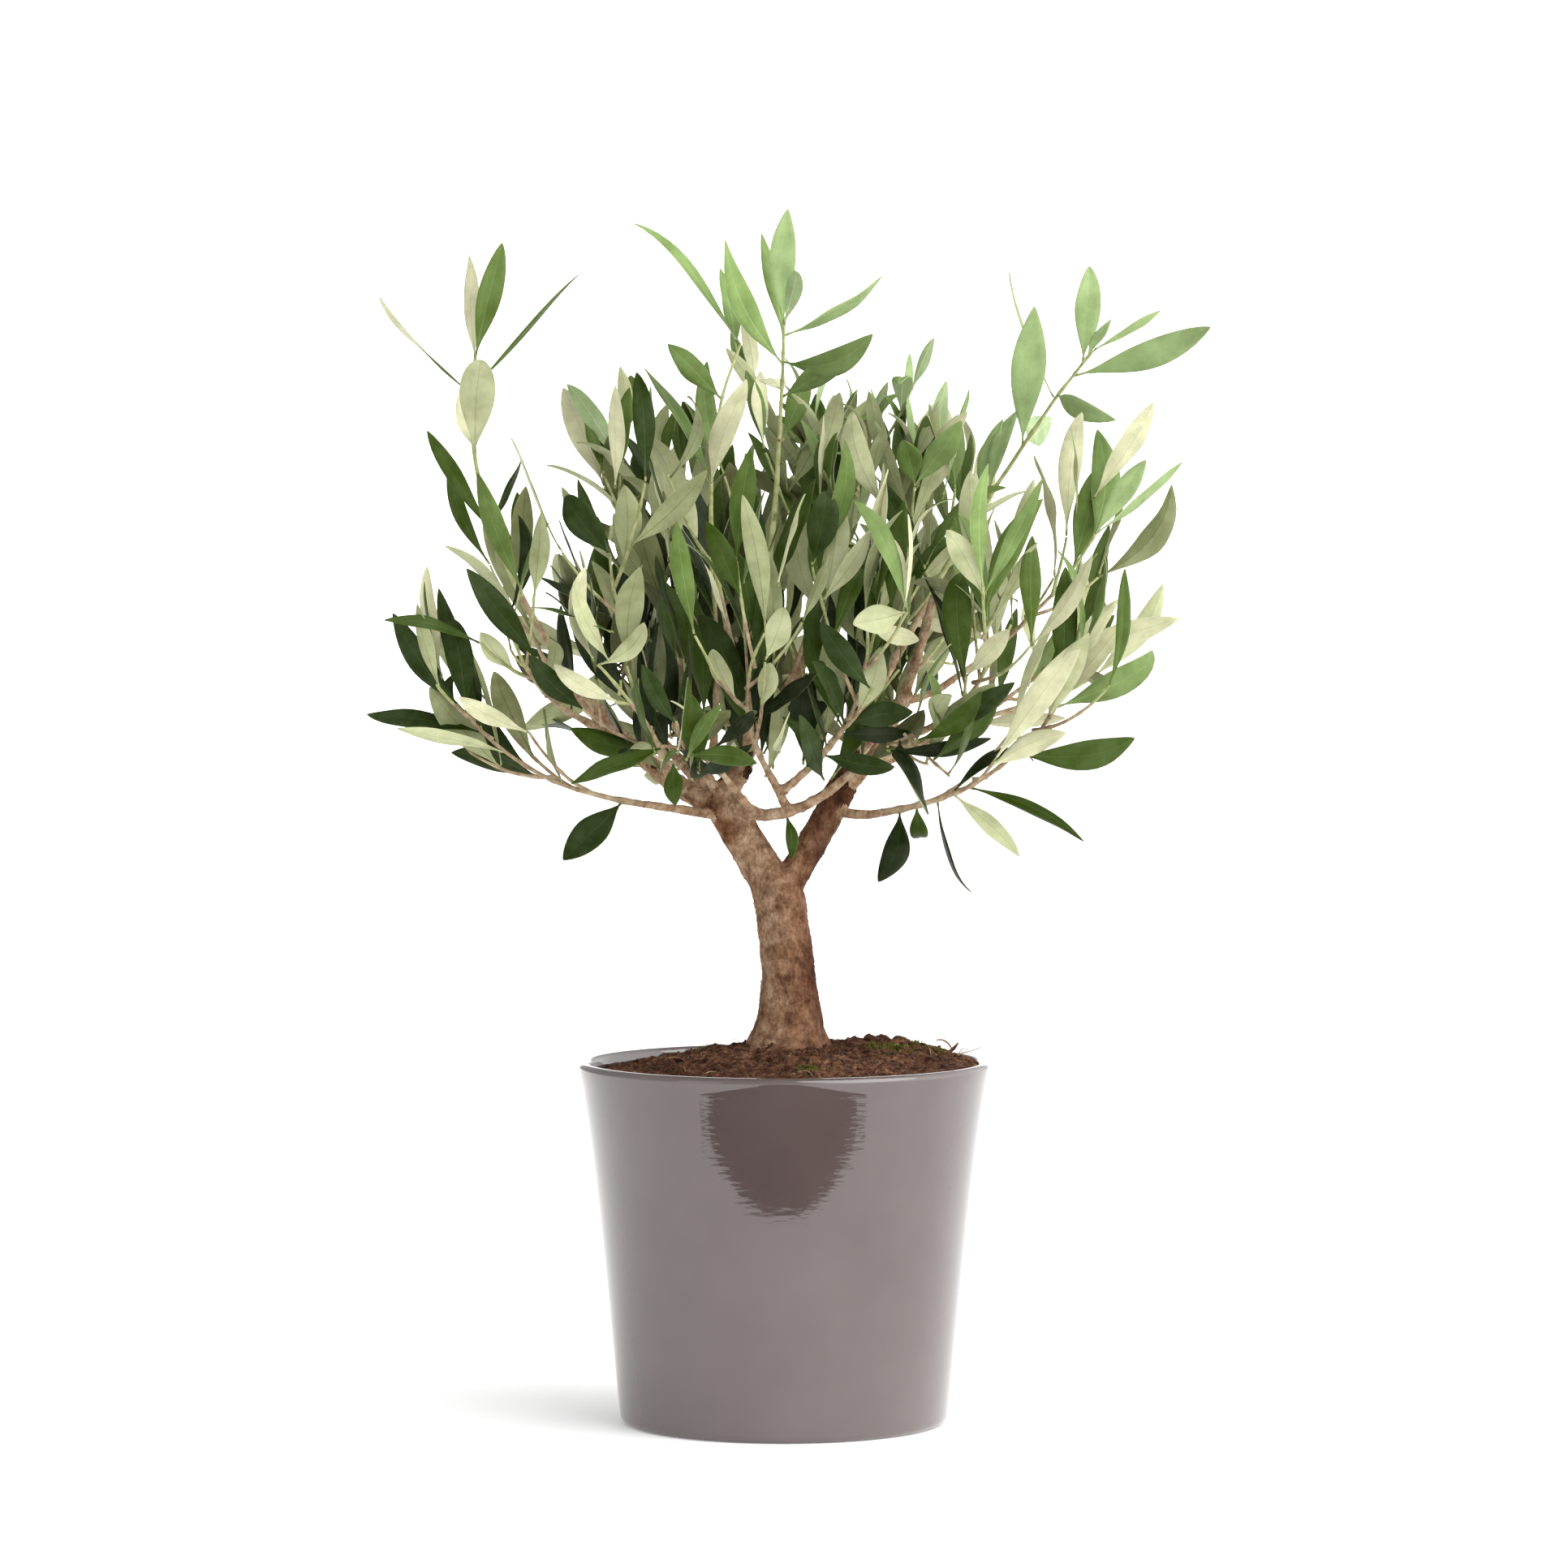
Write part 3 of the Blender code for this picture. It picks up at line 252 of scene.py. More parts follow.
# Leaves that stand out at the front, in millimetres across and up. Each starts on the twig nearest to its
# root. The last two numbers are its tints, of the tops and of the undersides.
Front = namedtuple("Front", "root tip width face bend top under")
FRONT_LEAVES = [Front(*row) for row in (
    ((14, 292), (47, 286), 9, 20, 14, 1, 1), ((23, 308), (55, 312), 11, 10, -10, 1, 1),
    ((25, 299), (53, 303), 8, 25, 8, 0, 1), ((53, 366), (28, 351), 13, 170, -14, 3, 3),
    ((36, 350), (56, 343), 9, 150, 45, 3, 4), ((64, 326), (96, 348), 9, 168, -14, 3, 4),
    ((28, 311), (39, 341), 11, 172, 12, 2, 3), ((-8, 336), (1, 359), 12, 168, 24, 2, 3),
    ((-10, 352), (-19, 404), 10, 162, 8, 2, 2), ((-1, 311), (-5, 336), 9, 176, 0, 2, 3),
    ((-18, 317), (-28, 343), 9, 165, 16, 2, 3), ((-69, 316), (-98, 334), 8, 170, -16, 2, 4),
    ((-77, 335), (-60, 352), 9, 150, 80, 2, 3), ((-49, 302), (-90, 283), 10, 25, 12, 2, 2),
    ((-50, 407), (-60, 458), 9.5, 20, 10, 1, 1), ((-40, 413), (-37, 454), 8, 150, -8, 2, 2),
    ((-54, 376), (-34, 417), 11, 168, 8, 2, 2), ((-77, 378), (-92, 408), 13, 10, 8, 1, 1),
    ((-73, 374), (-70, 410), 12, 172, -6, 2, 2), ((-14, 396), (-14, 424), 11, 12, 10, 3, 2),
    ((3, 372), (20, 407), 14, 15, 10, 1, 1), ((25, 363), (36, 391), 8, 160, 10, 3, 3),
    ((10, 352), (18, 380), 8, 150, -10, 3, 2), ((53, 410), (50, 429), 11, 10, 12, 4, 3),
    ((65, 404), (77, 436), 12, 20, -10, 5, 3), ((77, 363), (68, 391), 11, 160, 10, 4, 3),
    ((87, 385), (86, 419), 9, 20, 8, 6, 3), ((77, 363), (111, 411), 8, 25, 16, 5, 3),
    ((94, 300), (127, 344), 12, 170, 12, 3, 4), ((85, 287), (121, 302), 10, 165, 14, 3, 4),
    ((-94, 360), (-103, 398), 11, 172, 8, 3, 2), ((-105, 331), (-135, 374), 12, 15, 12, 1, 2),
    ((32, 324), (16, 352), 11, 12, -12, 1, 1), ((-23, 360), (-32, 394), 10, 14, 8, 2, 2),
    ((15, 394), (25, 428), 10, 20, -12, 4, 2), ((-151, 318), (-156, 358), 8, 165, 10, 3, 2),
    ((-127, 318), (-143, 358), 12, 12, 12, 1, 1), ((-118, 318), (-129, 348), 9, 170, -10, 2, 3),
    ((-119, 306), (-138, 322), 8, 160, 20, 2, 4), ((-138, 333), (-171, 348), 6.5, 40, 10, 2, 1),
    ((-106, 318), (-99, 349), 8, 165, 10, 2, 2), ((-92, 304), (-106, 339), 10, 15, -12, 1, 1),
    ((-38, 311), (-57, 335), 9, 20, 14, 1, 1), ((1, 262), (2, 247), 6, 12, 6, 2, 2),
    ((-46, 291), (-46, 274), 9, 15, 4, 2, 2),
)]

# The rule that the foliage follows, as in the frame.
STEM_STEP = 0.028
STEM_REACH = 0.62
TWIG_TIP_RADIUS = 0.0006
SIDE_RADIUS = 0.0010
SIDE_SHARES = (0.10, 0.82)
SIDE_PLACE = (0.1, 0.9)
SIDE_ANGLE = (26, 46)
SIDE_LENGTHS = (1.1, 0.7)
SIDE_SPREAD = (0.8, 1.2)
SIDE_WANDER = 30
SEED_TURN = 50
TWIG_ELBOW = 0.55
TWIG_LIFT = 0.38
SPIRAL = 137.5
BARE = 0.007
LEAF_LENGTHS = (0.88, 1.14)
LEAF_SHORTER = (0.20, 0.15)
LEAF_SLENDER = (0.26, 0.33)
LEAF_MIDDLE = 0.54
LEAF_ANGLE = (74, 25)
LEAF_WANDER = 12
LEAF_RISE = 0.32
LEAF_BEND = (10, 16)
LEAF_TURN = 30
PAIR_START = 30
PAIR_TURN = 60
PAIR_WANDER = 12
LEAF_FOLD = 0.22
LEAF_SINK = 0.0016
LEAF_TRIES = 6
LEAF_SAMPLES = (0.25, 0.4, LEAF_MIDDLE, 0.7, 0.85, 1.0)
LEAST_HALF_WIDTH = 0.001
SPACE_MARGIN = 0.0012
LIMB_MARGIN = 0.0010
LEAF_SPACING = 0.0034
TWIG_SAMPLE = 0.006
STEM_END = 0.002  # no placed leaf starts nearer to the stem's end
LOWEST_LEAF = 0.272
HIGHEST_LEAF = 0.528
WIDEST_LEAF = 0.183

# How the scene carries the rule on: finer twigs, and more leaves in the room that is left.
DENSE_TWIGS = 13  # tried on each mass that lies inside the crown or low at its front
OPEN_TWIGS = 1  # and on each of the others
BOUGH_TWIGS = 11  # tried on the bough that carries a dense mass
OPEN_MASSES = (
    "leaves_low_left", "leaves_left_front", "leaves_left_back", "leaves_upper_left", "leaves_low_right",
    "shoot_right_out", "leaves_right_mid", "shoot_top_centre", "shoot_top_mid", "leaves_up_right_back",
    "leaves_back_low", "leaves_right_front",
)
THINNED = {  # the share of a mass's leaves that is left out where sky shows through
    "leaves_left_back": 0.72, "leaves_left_front": 0.40, "leaves_back_low": 0.40, "leaves_right_mid": 0.40,
    "leaves_low_right": 0.30, "shoot_right_out": 0.30, "leaves_back_left": 0.30, "leaves_up_right": 0.28,
    "leaves_up_right_back": 0.45, "leaves_back_left_up": 0.58, "leaves_back_up": 0.45,
    "leaves_upper_left": 0.45, "leaves_upper_mid": 0.32, "leaves_centre_right": 0.30,
    "leaves_back_right": 0.30,
}
LOW_FRONT = (0.286, -0.030, 0.35)  # below this height and before this y, this share is left out
LOWEST_TWIG = 0.282  # no finer twig dips below this past its foot
FINE_PLACE = (0.06, 0.80)  # where on its parent a finer twig leaves it
FINE_POINTS = 3
FINE_ANGLE = (30, 80)  # in place of the rule's own, so that some fill the gaps below
FINE_LIFT = (-0.30, 0.40)
FINE_LENGTH = (0.55, 0.85)  # of the mass's own side twigs
FINE_RADIUS = 0.0008
FINE_STEP = 0.8  # of the mass's own step between pairs
FINE_LEAF = 0.94  # of the mass's own leaf
FINE_SPACING = 0.0020
LEAST_LAST_NODE = 0.7  # a fine twig that stays bare past this share of its length is left out
FINE_SEED, RAISE_SEED, TWIG_SEED, LEAF_SEED = 1000, 2000, 5, 50
CRUMB_SEED, FIBRE_SEED, MOSS_SEED, DRY_SEED = 71, 72, 73, 74
SHOOT_STEPS = {"shoot_top_centre": 38, "shoot_top_mid": 60}  # shoots that get more leaves than the frame's
SHOOT_LEAFY = 0.428  # below this height
TIP_LEAVES = 0.86  # leaves beyond this share of their twig are never thinned out

LEAF_RAISED = (0.30, 1.00)  # how far the leaves of the rule turn up to the light
LEAF_LONGER = (1.02, 1.22)  # and grow longer
LEAF_DROOPING = 0.15  # the share of them that aren't turned up
LEAF_TURNED = (1.0, 0.6, 0.3)  # tried one after the other until no limb is in the way
LEAF_FACING = (0.3, 1.4)  # how far a leaf's flat side turns to the outside of the crown
LEAF_BACK = 0.40  # the share of them that turn their underside there
FRONT_MOST, BACK_MOST = -0.136, 0.170
DOME_LEFT, DOME_RIGHT = 0.464, 0.452  # no leaf of the rule ends above this, left and right of the middle
DOME_UNEVEN = 0.040  # and most end up to this much lower
DOME_SHORTEST = 0.62  # but none is cut to less than this share of its length

# A leaf's mesh.
LEAF_STATIONS = np.concatenate([[0, 0.04], np.linspace(0.08, 0.92, 12), [0.96, 0.985, 1.0]])
LEAF_SHARP = 70  # degrees from which on an edge isn't smoothed
LEAF_COLUMNS = 8  # edge, margin, half, rib | rib, half, margin, edge
LEAF_STALK = 0.07  # the share of the length that is stalk
LEAF_PEAK = 0.55  # where the blade is widest
LEAF_FULLNESS = (1.05, 0.74)  # towards the foot and towards the tip: under 1 makes the outline fuller
LEAF_NARROW = (0.66, 0.98)  # the blade's width over the frame's leaf's
STALK_HALF = 0.00050
TIP_HALF = 0.00010
LEAF_HALF_THICK = 0.00017
STALK_HALF_THICK = 0.00045
RIB_HALF = (0.00024, 0.00006)  # at the foot and at the tip
RIB_RISE = 0.00018
MARGIN_WIDTH = 0.00016
CURLED = 0.07  # the share of the leaves that curl right over
CURLED_BY = (40, 90)  # degrees
LEAF_RECURVE = (5, 20)  # degrees that the leaf's outer half bends back by, mean and spread
LEAF_SICKLE = (0.070, 0.8)  # how far a leaf strays to one side, of its length, and how soon it is back
LEAF_TWIST = 24  # degrees
FOLDED = (0.6, 1.6)  # of the rule's fold along the rib
MARGIN_CURL = (0.04, 0.30)  # how far the margins curl back
LEAF_WAVE, LEAF_WAVES = (0.0, 0.16), (1.0, 2.4)  # height and number of the waves along the margins
RIB_SHARE, MARGIN_SHARE = 0.4, 0.12  # the most that rib and margin take of a narrow blade
INNER_COLUMN = 0.55  # where the column between rib and margin runs
RIB_SUNK = 0.4  # how deep the upper side's rib lies, over the underside's rise

Leaf = namedtuple("Leaf", "root axis normal length width bend")
Grown = namedtuple("Grown", "leaf share placed")  # a leaf, and how far up its twig it stands
Twig = namedtuple("Twig", "curve path foot nodes")


# ---------------------------------------------------------------- materials


MIX_FACTOR, MIX_FIRST, MIX_SECOND, MIX_RESULT = 0, 6, 7, 2  # the colour sockets of a mix node
LEAF_PALER, LEAF_DARKER = 1.14, 0.80  # the clouds on a leaf, over its own tint; the paler ones are partly the leaf's own grey bloom and partly painted sheen


def linear(level):
    """A screen's level, 0 to 255, as the linear one by the sRGB curve."""
    level = level / 255
    return level / 12.92 if level <= 0.04045 else ((level + 0.055) / 1.055) ** 2.4


def colour(red, green, blue):
    """A colour given as it looks on a screen, 0 to 255, as Blender's linear one."""
    return (linear(red), linear(green), linear(blue), 1.0)


def grey(level):
    """A linear grey."""
    return (level, level, level, 1.0)


def surface(name, base, roughness, **sockets):
    """A Principled material with plain values. Returns it with its tree and its shader."""
    made = bpy.data.materials.new(name)
    made.use_nodes = True
    shader = made.node_tree.nodes["Principled BSDF"]
    shader.inputs["Base Color"].default_value = base
    shader.inputs["Roughness"].default_value = roughness
    for socket, value in sockets.items():
        shader.inputs[socket.replace("_", " ")].default_value = value
    return made, made.node_tree, shader


def noise_at(tree, scale, detail=3.0, roughness=0.55, stretch=None):
    """A noise pattern fixed to the object; stretch scales it apart along X, Y and Z."""
    place = tree.nodes.new("ShaderNodeTexCoord").outputs["Object"]
    if stretch:
        mapping = tree.nodes.new("ShaderNodeMapping")
        mapping.inputs["Scale"].default_value = stretch
        tree.links.new(place, mapping.inputs["Vector"])
        place = mapping.outputs["Vector"]
    pattern = tree.nodes.new("ShaderNodeTexNoise")
    pattern.inputs["Scale"].default_value = scale
    pattern.inputs["Detail"].default_value = detail
    pattern.inputs["Roughness"].default_value = roughness
    tree.links.new(place, pattern.inputs["Vector"])
    return pattern.outputs["Fac"]


def ramp(tree, factor, *stops):
    """A colour ramp over (position, colour) stops."""
    made = tree.nodes.new("ShaderNodeValToRGB")
    elements = made.color_ramp.elements
    while len(elements) < len(stops):
        elements.new(0.5)
    for element, (position, value) in zip(elements, stops):
        element.position = position
        element.color = value
    tree.links.new(factor, made.inputs["Fac"])
    return made.outputs["Color"]


def mix(tree, first, second, blend):
    """Two colours as one, by the blend that is named."""
    made = tree.nodes.new("ShaderNodeMix")
    made.data_type = "RGBA"
    made.blend_type = blend
    made.inputs[MIX_FACTOR].default_value = 1.0
    tree.links.new(first, made.inputs[MIX_FIRST])
    tree.links.new(second, made.inputs[MIX_SECOND])
    return made.outputs[MIX_RESULT]


def add_bump(tree, shader, *layers):
    """Chains bumps, each a (height, distance) pair in metres, into the shader's normal."""
    normal = None
    for height, distance in layers:
        made = tree.nodes.new("ShaderNodeBump")
        made.inputs["Distance"].default_value = distance
        made.inputs["Strength"].default_value = 1.0
        tree.links.new(height, made.inputs["Height"])
        if normal:
            tree.links.new(normal, made.inputs["Normal"])
        normal = made.outputs["Normal"]
    tree.links.new(normal, shader.inputs["Normal"])


def finished(parts, skins, bumps=()):
    """The material of surface(), with its skins multiplied together as its colour, and with its bumps."""
    made, tree, shader = parts
    skin = skins[0]
    for layer in skins[1:]:
        skin = mix(tree, skin, layer, "MULTIPLY")
    tree.links.new(skin, shader.inputs["Base Color"])
    if bumps:
        add_bump(tree, shader, *bumps)
    return made


def clouds(tree, scale, detail, *stops, roughness=0.55):
    """A noise pattern in the colours of its stops: each a position, and red, green and blue on a screen."""
    pattern = noise_at(tree, scale, detail, roughness)
    return ramp(tree, pattern, *((position, colour(*tint)) for position, *tint in stops))


def glaze_material():
    """Taupe glaze: a dark body under a wet-looking, faintly rippled gloss."""
    gloss = {"Specular_IOR_Level": 0.8, "Coat_Weight": 0.5, "Coat_Roughness": 0.01}
    parts = surface("taupe_glaze", colour(84, 72, 70), 0.035, **gloss)
    tree = parts[1]
    body = clouds(tree, 22, 2.0, (0.30, 80, 68, 66), (0.70, 88, 76, 74))
    ripples = noise_at(tree, 560, 1.0, 0.5, (0.28, 0.28, 1.0))
    dimples, waves = noise_at(tree, 240, 1.5), noise_at(tree, 30, 1.0)
    return finished(parts, [body], [(ripples, 0.000016), (dimples, 0.000008), (waves, 0.00003)])


def side_to_side(tree, low, high, wander):
    """0 at x = low to 1 at x = high across the object, its border broken up by noise."""
    place = tree.nodes.new("ShaderNodeTexCoord").outputs["Object"]
    split = tree.nodes.new("ShaderNodeSeparateXYZ")
    tree.links.new(place, split.inputs["Vector"])
    scaled = tree.nodes.new("ShaderNodeMapRange")
    scaled.clamp = False
    scaled.inputs["From Min"].default_value = low
    scaled.inputs["From Max"].default_value = high
    tree.links.new(split.outputs["X"], scaled.inputs["Value"])
    blurred = tree.nodes.new("ShaderNodeMath")
    blurred.operation = "MULTIPLY_ADD"
    blurred.inputs[1].default_value = wander
    tree.links.new(noise_at(tree, 60, 4.0), blurred.inputs[0])
    tree.links.new(scaled.outputs["Result"], blurred.inputs[2])
    return blurred.outputs["Value"]


def specks(tree):
    """Fine darker specks, to multiply a skin's colour by."""
    pattern = noise_at(tree, 820, 6.0, 0.7, (1.0, 1.0, 0.5))
    return ramp(tree, pattern, (0.38, grey(0.62)), (0.56, grey(1.0)))


def bark_bumps(tree, grain, pores):
    """Lengthways grain and fine pores, of those depths."""
    pattern = noise_at(tree, 420, 4.0, 0.6, (1.0, 1.0, 0.35))
    return [(pattern, grain), (noise_at(tree, 1300, 3.0), pores)]


def bough_material():
    """The bark of the thinner boughs: smoother and lighter."""
    parts = surface("bough_bark", colour(178, 152, 122), 0.82, Specular_IOR_Level=0.2)
    tree = parts[1]
    tans = (0.34, 118, 88, 62), (0.50, 168, 138, 108), (0.66, 204, 180, 152)
    mottle = clouds(tree, 170, 7.0, *tans, roughness=0.68)
    return finished(parts, [mottle, specks(tree)], bark_bumps(tree, 0.0005, 0.00020))


def bark_material():
    """Young olive bark, mottled and finely cracked: lighter on the left, browner on the right limb and
    lighter again at the far right; the lighter left is partly painted light from the left and partly the
    bark's own grey-tan.
    """
    parts = surface("olive_bark", colour(150, 122, 100), 0.86, Specular_IOR_Level=0.2)
    tree = parts[1]
    tans = (0.34, 96, 68, 46), (0.46, 150, 120, 94), (0.58, 184, 156, 130), (0.72, 206, 184, 162)
    mottle = clouds(tree, 150, 8.0, *tans, roughness=0.70)
    stain = clouds(tree, 45, 5.0, (0.46, 255, 255, 255), (0.64, 184, 152, 126), roughness=0.6)
    # Painted light across the bark: lighter on the left where the light falls and browner to the right,
    # partly the bark's own tone as well.
    sides = ramp(
        tree,
        side_to_side(tree, -0.060, 0.060, 0.16),
        (0.46, colour(255, 253, 250)),
        (0.62, colour(206, 184, 170)),
        (0.70, colour(166, 140, 126)),
        (0.86, colour(172, 148, 134)),
        (0.98, colour(240, 232, 224)),
    )
    return finished(parts, [mottle, stain, sides, specks(tree)], bark_bumps(tree, 0.0007, 0.00025))


def knot_material():
    """Near-black colour for the pit of an old cut."""
    parts = surface("cut_knot", colour(46, 30, 22), 0.95, Specular_IOR_Level=0.15)
    shade = clouds(parts[1], 500, 4.0, (0.35, 26, 15, 11), (0.70, 84, 56, 40))
    return finished(parts, [shade], [(noise_at(parts[1], 700, 4.0), 0.0006)])


def twig_material(name, dark, light):
    """A thin skin or straw, clouded between two tints."""
    parts = surface(name, colour(*light), 0.72, Specular_IOR_Level=0.3)
    shade = clouds(parts[1], 260, 4.0, (0.36, *dark), (0.64, *light))
    return finished(parts, [shade], [(noise_at(parts[1], 900, 3.0), 0.00022)])


def leaf_material(name, tint, roughness, bloom_and_sheen, shine=0.15):
    """A leaf's skin: one plain tint, clouded a little. bloom_and_sheen is the pale cast of its paler
    clouds, partly the leaf's own grey bloom and partly painted sheen.
    """
    base = colour(*tint)
    parts = surface(name, base, roughness, Specular_IOR_Level=shine)
    paler = tuple(level * LEAF_PALER + (1 - level) * bloom_and_sheen for level in base[:3]) + (1.0,)
    darker = tuple(level * LEAF_DARKER for level in base[:3]) + (1.0,)
    pattern = noise_at(parts[1], 75, 5.0, 0.62)
    return finished(parts, [ramp(parts[1], pattern, (0.34, darker), (0.66, paler))])


def soil_material():
    """Crumbly brown potting soil with some darker and paler patches."""
    parts = surface("potting_soil", colour(92, 66, 50), 0.95, Specular_IOR_Level=0.2)
    tree = parts[1]
    browns = (0.34, 38, 23, 16), (0.48, 90, 60, 43), (0.60, 128, 92, 70), (0.74, 172, 136, 110)
    crumbs = clouds(tree, 330, 5.0, *browns, roughness=0.68)
    patches = clouds(tree, 40, 3.0, (0.40, 190, 176, 168), (0.66, 255, 250, 244))
    return finished(parts, [crumbs, patches], [(noise_at(tree, 1100, 4.0, 0.7), 0.0009)])


def moss_material():
    """Dull olive moss."""
    parts = surface("moss", colour(98, 102, 40), 0.9, Specular_IOR_Level=0.1)
    shade = clouds(parts[1], 500, 3.0, (0.36, 56, 58, 22), (0.68, 126, 128, 54))
    return finished(parts, [shade], [(noise_at(parts[1], 1200, 2.0), 0.0003)])


# ---------------------------------------------------------------- curves and frames, as in the frame


ASKEW = Vector((0.31, 0.9, 0.13))  # no twig runs this way


def metres(numbers):
    """A place in millimetres as a vector in metres."""
    return Vector([number * 0.001 for number in numbers])


def elbow_point(start, elbow, tip, t):
    """The point at the share t of the curve that elbow_curve() describes."""
    return start * (1 - t) ** 2 + elbow * (2 * t * (1 - t)) + tip * t * t


def elbow_curve(start, elbow, tip, count):
    """count + 1 points of the curve that leaves start towards elbow and reaches tip coming from it."""
    return [elbow_point(start, elbow, tip, i / count) for i in range(count + 1)]


def along(path, distance):
    """The point at that distance along the path, with the path's direction and a cross vector there."""
    frames = ring_frames(path)
    for (a, side, _), (b, _, _) in zip(frames, frames[1:]):
        step = (b - a).length
        if distance <= step or b is path[-1]:
            break
        distance -= step
    tangent = (b - a).normalized()
    return a.lerp(b, min(distance / step, 1.0)), tangent, (side - tangent * side.dot(tangent)).normalized()


def swung(first, second, angle):
    """The unit vector at that angle from the first of two square ones towards the second."""
    return first * math.cos(angle) + second * math.sin(angle)


def path_length(path):
    """The length of all its straight stretches."""
    return sum((b - a).length for a, b in zip(path, path[1:]))


def across(direction):
    """A unit vector square to the direction, the same one each time."""
    return direction.cross(ASKEW).normalized()


def ring_frames(path):
    """A pair of cross vectors at each point of the path, carried along it without twisting."""
    side = across(path[1] - path[0])
    frames = []
    for i, point in enumerate(path):
        before = path[max(i - 1, 0)]
        after = path[min(i + 1, len(path) - 1)]
        tangent = (after - before).normalized()
        side = (side - tangent * side.dot(tangent)).normalized()
        frames.append((point, side, tangent.cross(side)))
    return frames


# ---------------------------------------------------------------- meshes and pieces


def circle(radius, count):
    """count points round the origin, each as x and y."""
    turns = [2 * math.pi * k / count for k in range(count)]
    return [(radius * math.cos(turn), radius * math.sin(turn)) for turn in turns]


def linked(name, data):
    """A new object in the scene."""
    obj = bpy.data.objects.new(name, data)
    bpy.context.scene.collection.objects.link(obj)
    return obj


def piece(name, points, faces, materials, replaced=(), indices=None, sharp=None):
    """A piece of the object from its points and faces, which rides on the plant's one body."""
    mesh = bpy.data.meshes.new(name)
    mesh.from_pydata(points, [], faces)
    for material in materials:
        mesh.materials.append(material)
    if indices is not None:
        mesh.polygons.foreach_set("material_index", indices)
    mesh.shade_smooth()
    if sharp:
        mesh.set_sharp_from_angle(angle=math.radians(sharp))
    mesh.update()
    obj = linked(name, mesh)
    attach(obj, "root")
    if replaced:
        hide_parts(*replaced)
    return obj


def ring_faces(rings, sides, start=0):
    """Quads between rings of as many points each, and a cap on the first and the last."""
    faces = []
    for i in range(rings - 1):
        low = start + i * sides
        high = low + sides
        for k in range(sides):
            after = (k + 1) % sides
            faces.append((low + k, low + after, high + after, high + k))
    faces.append(tuple(range(start + sides - 1, start - 1, -1)))
    last = start + (rings - 1) * sides
    faces.append(tuple(range(last, last + sides)))
    return faces


def tube_points(path, radii, sides, shape=None):
    """Rings round the path. shape(ring, angle) scales the radius where it is given."""
    points = []
    for i, ((centre, side, up), radius) in enumerate(zip(ring_frames(path), radii)):
        for k in range(sides):
            angle = 2 * math.pi * k / sides
            reach = radius * (shape(i, angle) if shape else 1.0)
            points.append(centre + swung(side, up, angle) * reach)
    return points


# ---------------------------------------------------------------- pot


def pot_radius(z):
    return POT_FOOT_RADIUS + POT_SLOPE * z + POT_FLARE * (z / POT_HEIGHT) ** POT_FLARE_POWER


def pot_profile():
    """Radius and height of the pot's section, from the underside up the outside and down the inside."""
    points = []
    for i in range(FOOT_STEPS + 1):
        turn = math.radians(90 * i / FOOT_STEPS)
        points.append((
            pot_radius(POT_FOOT_ROUND) - POT_FOOT_ROUND * (1 - math.sin(turn)),
            POT_FOOT_ROUND * (1 - math.cos(turn)),
        ))
    for i in range(1, POT_RINGS + 1):
        z = POT_FOOT_ROUND + (POT_SHOULDER - POT_FOOT_ROUND) * i / POT_RINGS
        points.append((pot_radius(z), z))
    half = POT_WALL / 2
    for i in range(1, RIM_STEPS):
        turn = math.pi * i / RIM_STEPS
        points.append((
            pot_radius(POT_SHOULDER) - half + half * math.cos(turn),
            POT_SHOULDER + half * math.sin(turn),
        ))
    for i in range(POT_RINGS + 1):
        z = POT_SHOULDER + (POT_FLOOR - POT_SHOULDER) * i / POT_RINGS
        points.append((pot_radius(z) - POT_WALL, z))
    return points


def make_pot(glaze):
    profile = pot_profile()
    points = [(x, y, z) for radius, z in profile for x, y in circle(radius, POT_SEGMENTS)]
    faces = ring_faces(len(profile), POT_SEGMENTS)
    piece("glazed_pot", points, faces, [glaze], ["pot"], sharp=POT_SHARP)


# ---------------------------------------------------------------- soil


def soil_edge():
    return pot_radius(POT_HEIGHT - SOIL_EDGE_DROP) - POT_WALL


def soil_level(x, y):
    """The soil's broad surface, as in the frame: a low dome with a mound, and a bed for the trunk."""
    out = min(math.hypot(x, y) / soil_edge(), 1.0)
    z = POT_HEIGHT - SOIL_EDGE_DROP + SOIL_DOME * (1 - out**2) + SOIL_TILT * x / soil_edge()
    mound_x, mound_y, mound_z, spread = SOIL_MOUND
    z += mound_z * math.exp(-((x - mound_x) ** 2 + (y - mound_y) ** 2) / spread**2) * (1 - out**4)
    from_trunk = math.hypot(x - TRUNK_FOOT.x, y - TRUNK_FOOT.y) / TRUNK_BED_RADIUS
    flat = max(0.0, min(1.0, 2.0 - from_trunk))
    return z + (TRUNK_BED_Z - z) * flat


def crumb(x, y, size):
    """Rounded grains of that size, 0 to 1 high."""
    near = noise.voronoi(Vector((x, y, 0.0)) / size)[0][0]
    return math.sqrt(max(0.0, 1.0 - (near / GRAIN_REACH) ** 2))


SOIL_ROUGH = (0.0019, 110)  # height and frequency of its bumps
SOIL_GRAINS = ((0.0015, 0.0042, 0.0), (0.0009, 0.0019, 0.01))  # height, size and shift of its grains
GRAIN_REACH = 0.75  # a grain's radius over its size
GRAINS_SUNK = 0.0011
CALM_EDGE = (0.6, 8)  # how much smoother it gets at the wall, and how late


def soil_surface(x, y):
    """The soil's rough surface, with its grains."""
    out = min(math.hypot(x, y) / soil_edge(), 1.0)
    loose = 1.0 - CALM_EDGE[0] * out ** CALM_EDGE[1]
    rough = SOIL_ROUGH[0] * noise.fractal(Vector((x, y, 0.0)) * SOIL_ROUGH[1], 0.8, 2.0, 5)
    grains = sum(height * crumb(x + shift, y, size) for height, size, shift in SOIL_GRAINS) - GRAINS_SUNK
    return soil_level(x, y) + (rough + grains) * loose


SOIL_WALL_RINGS = 6


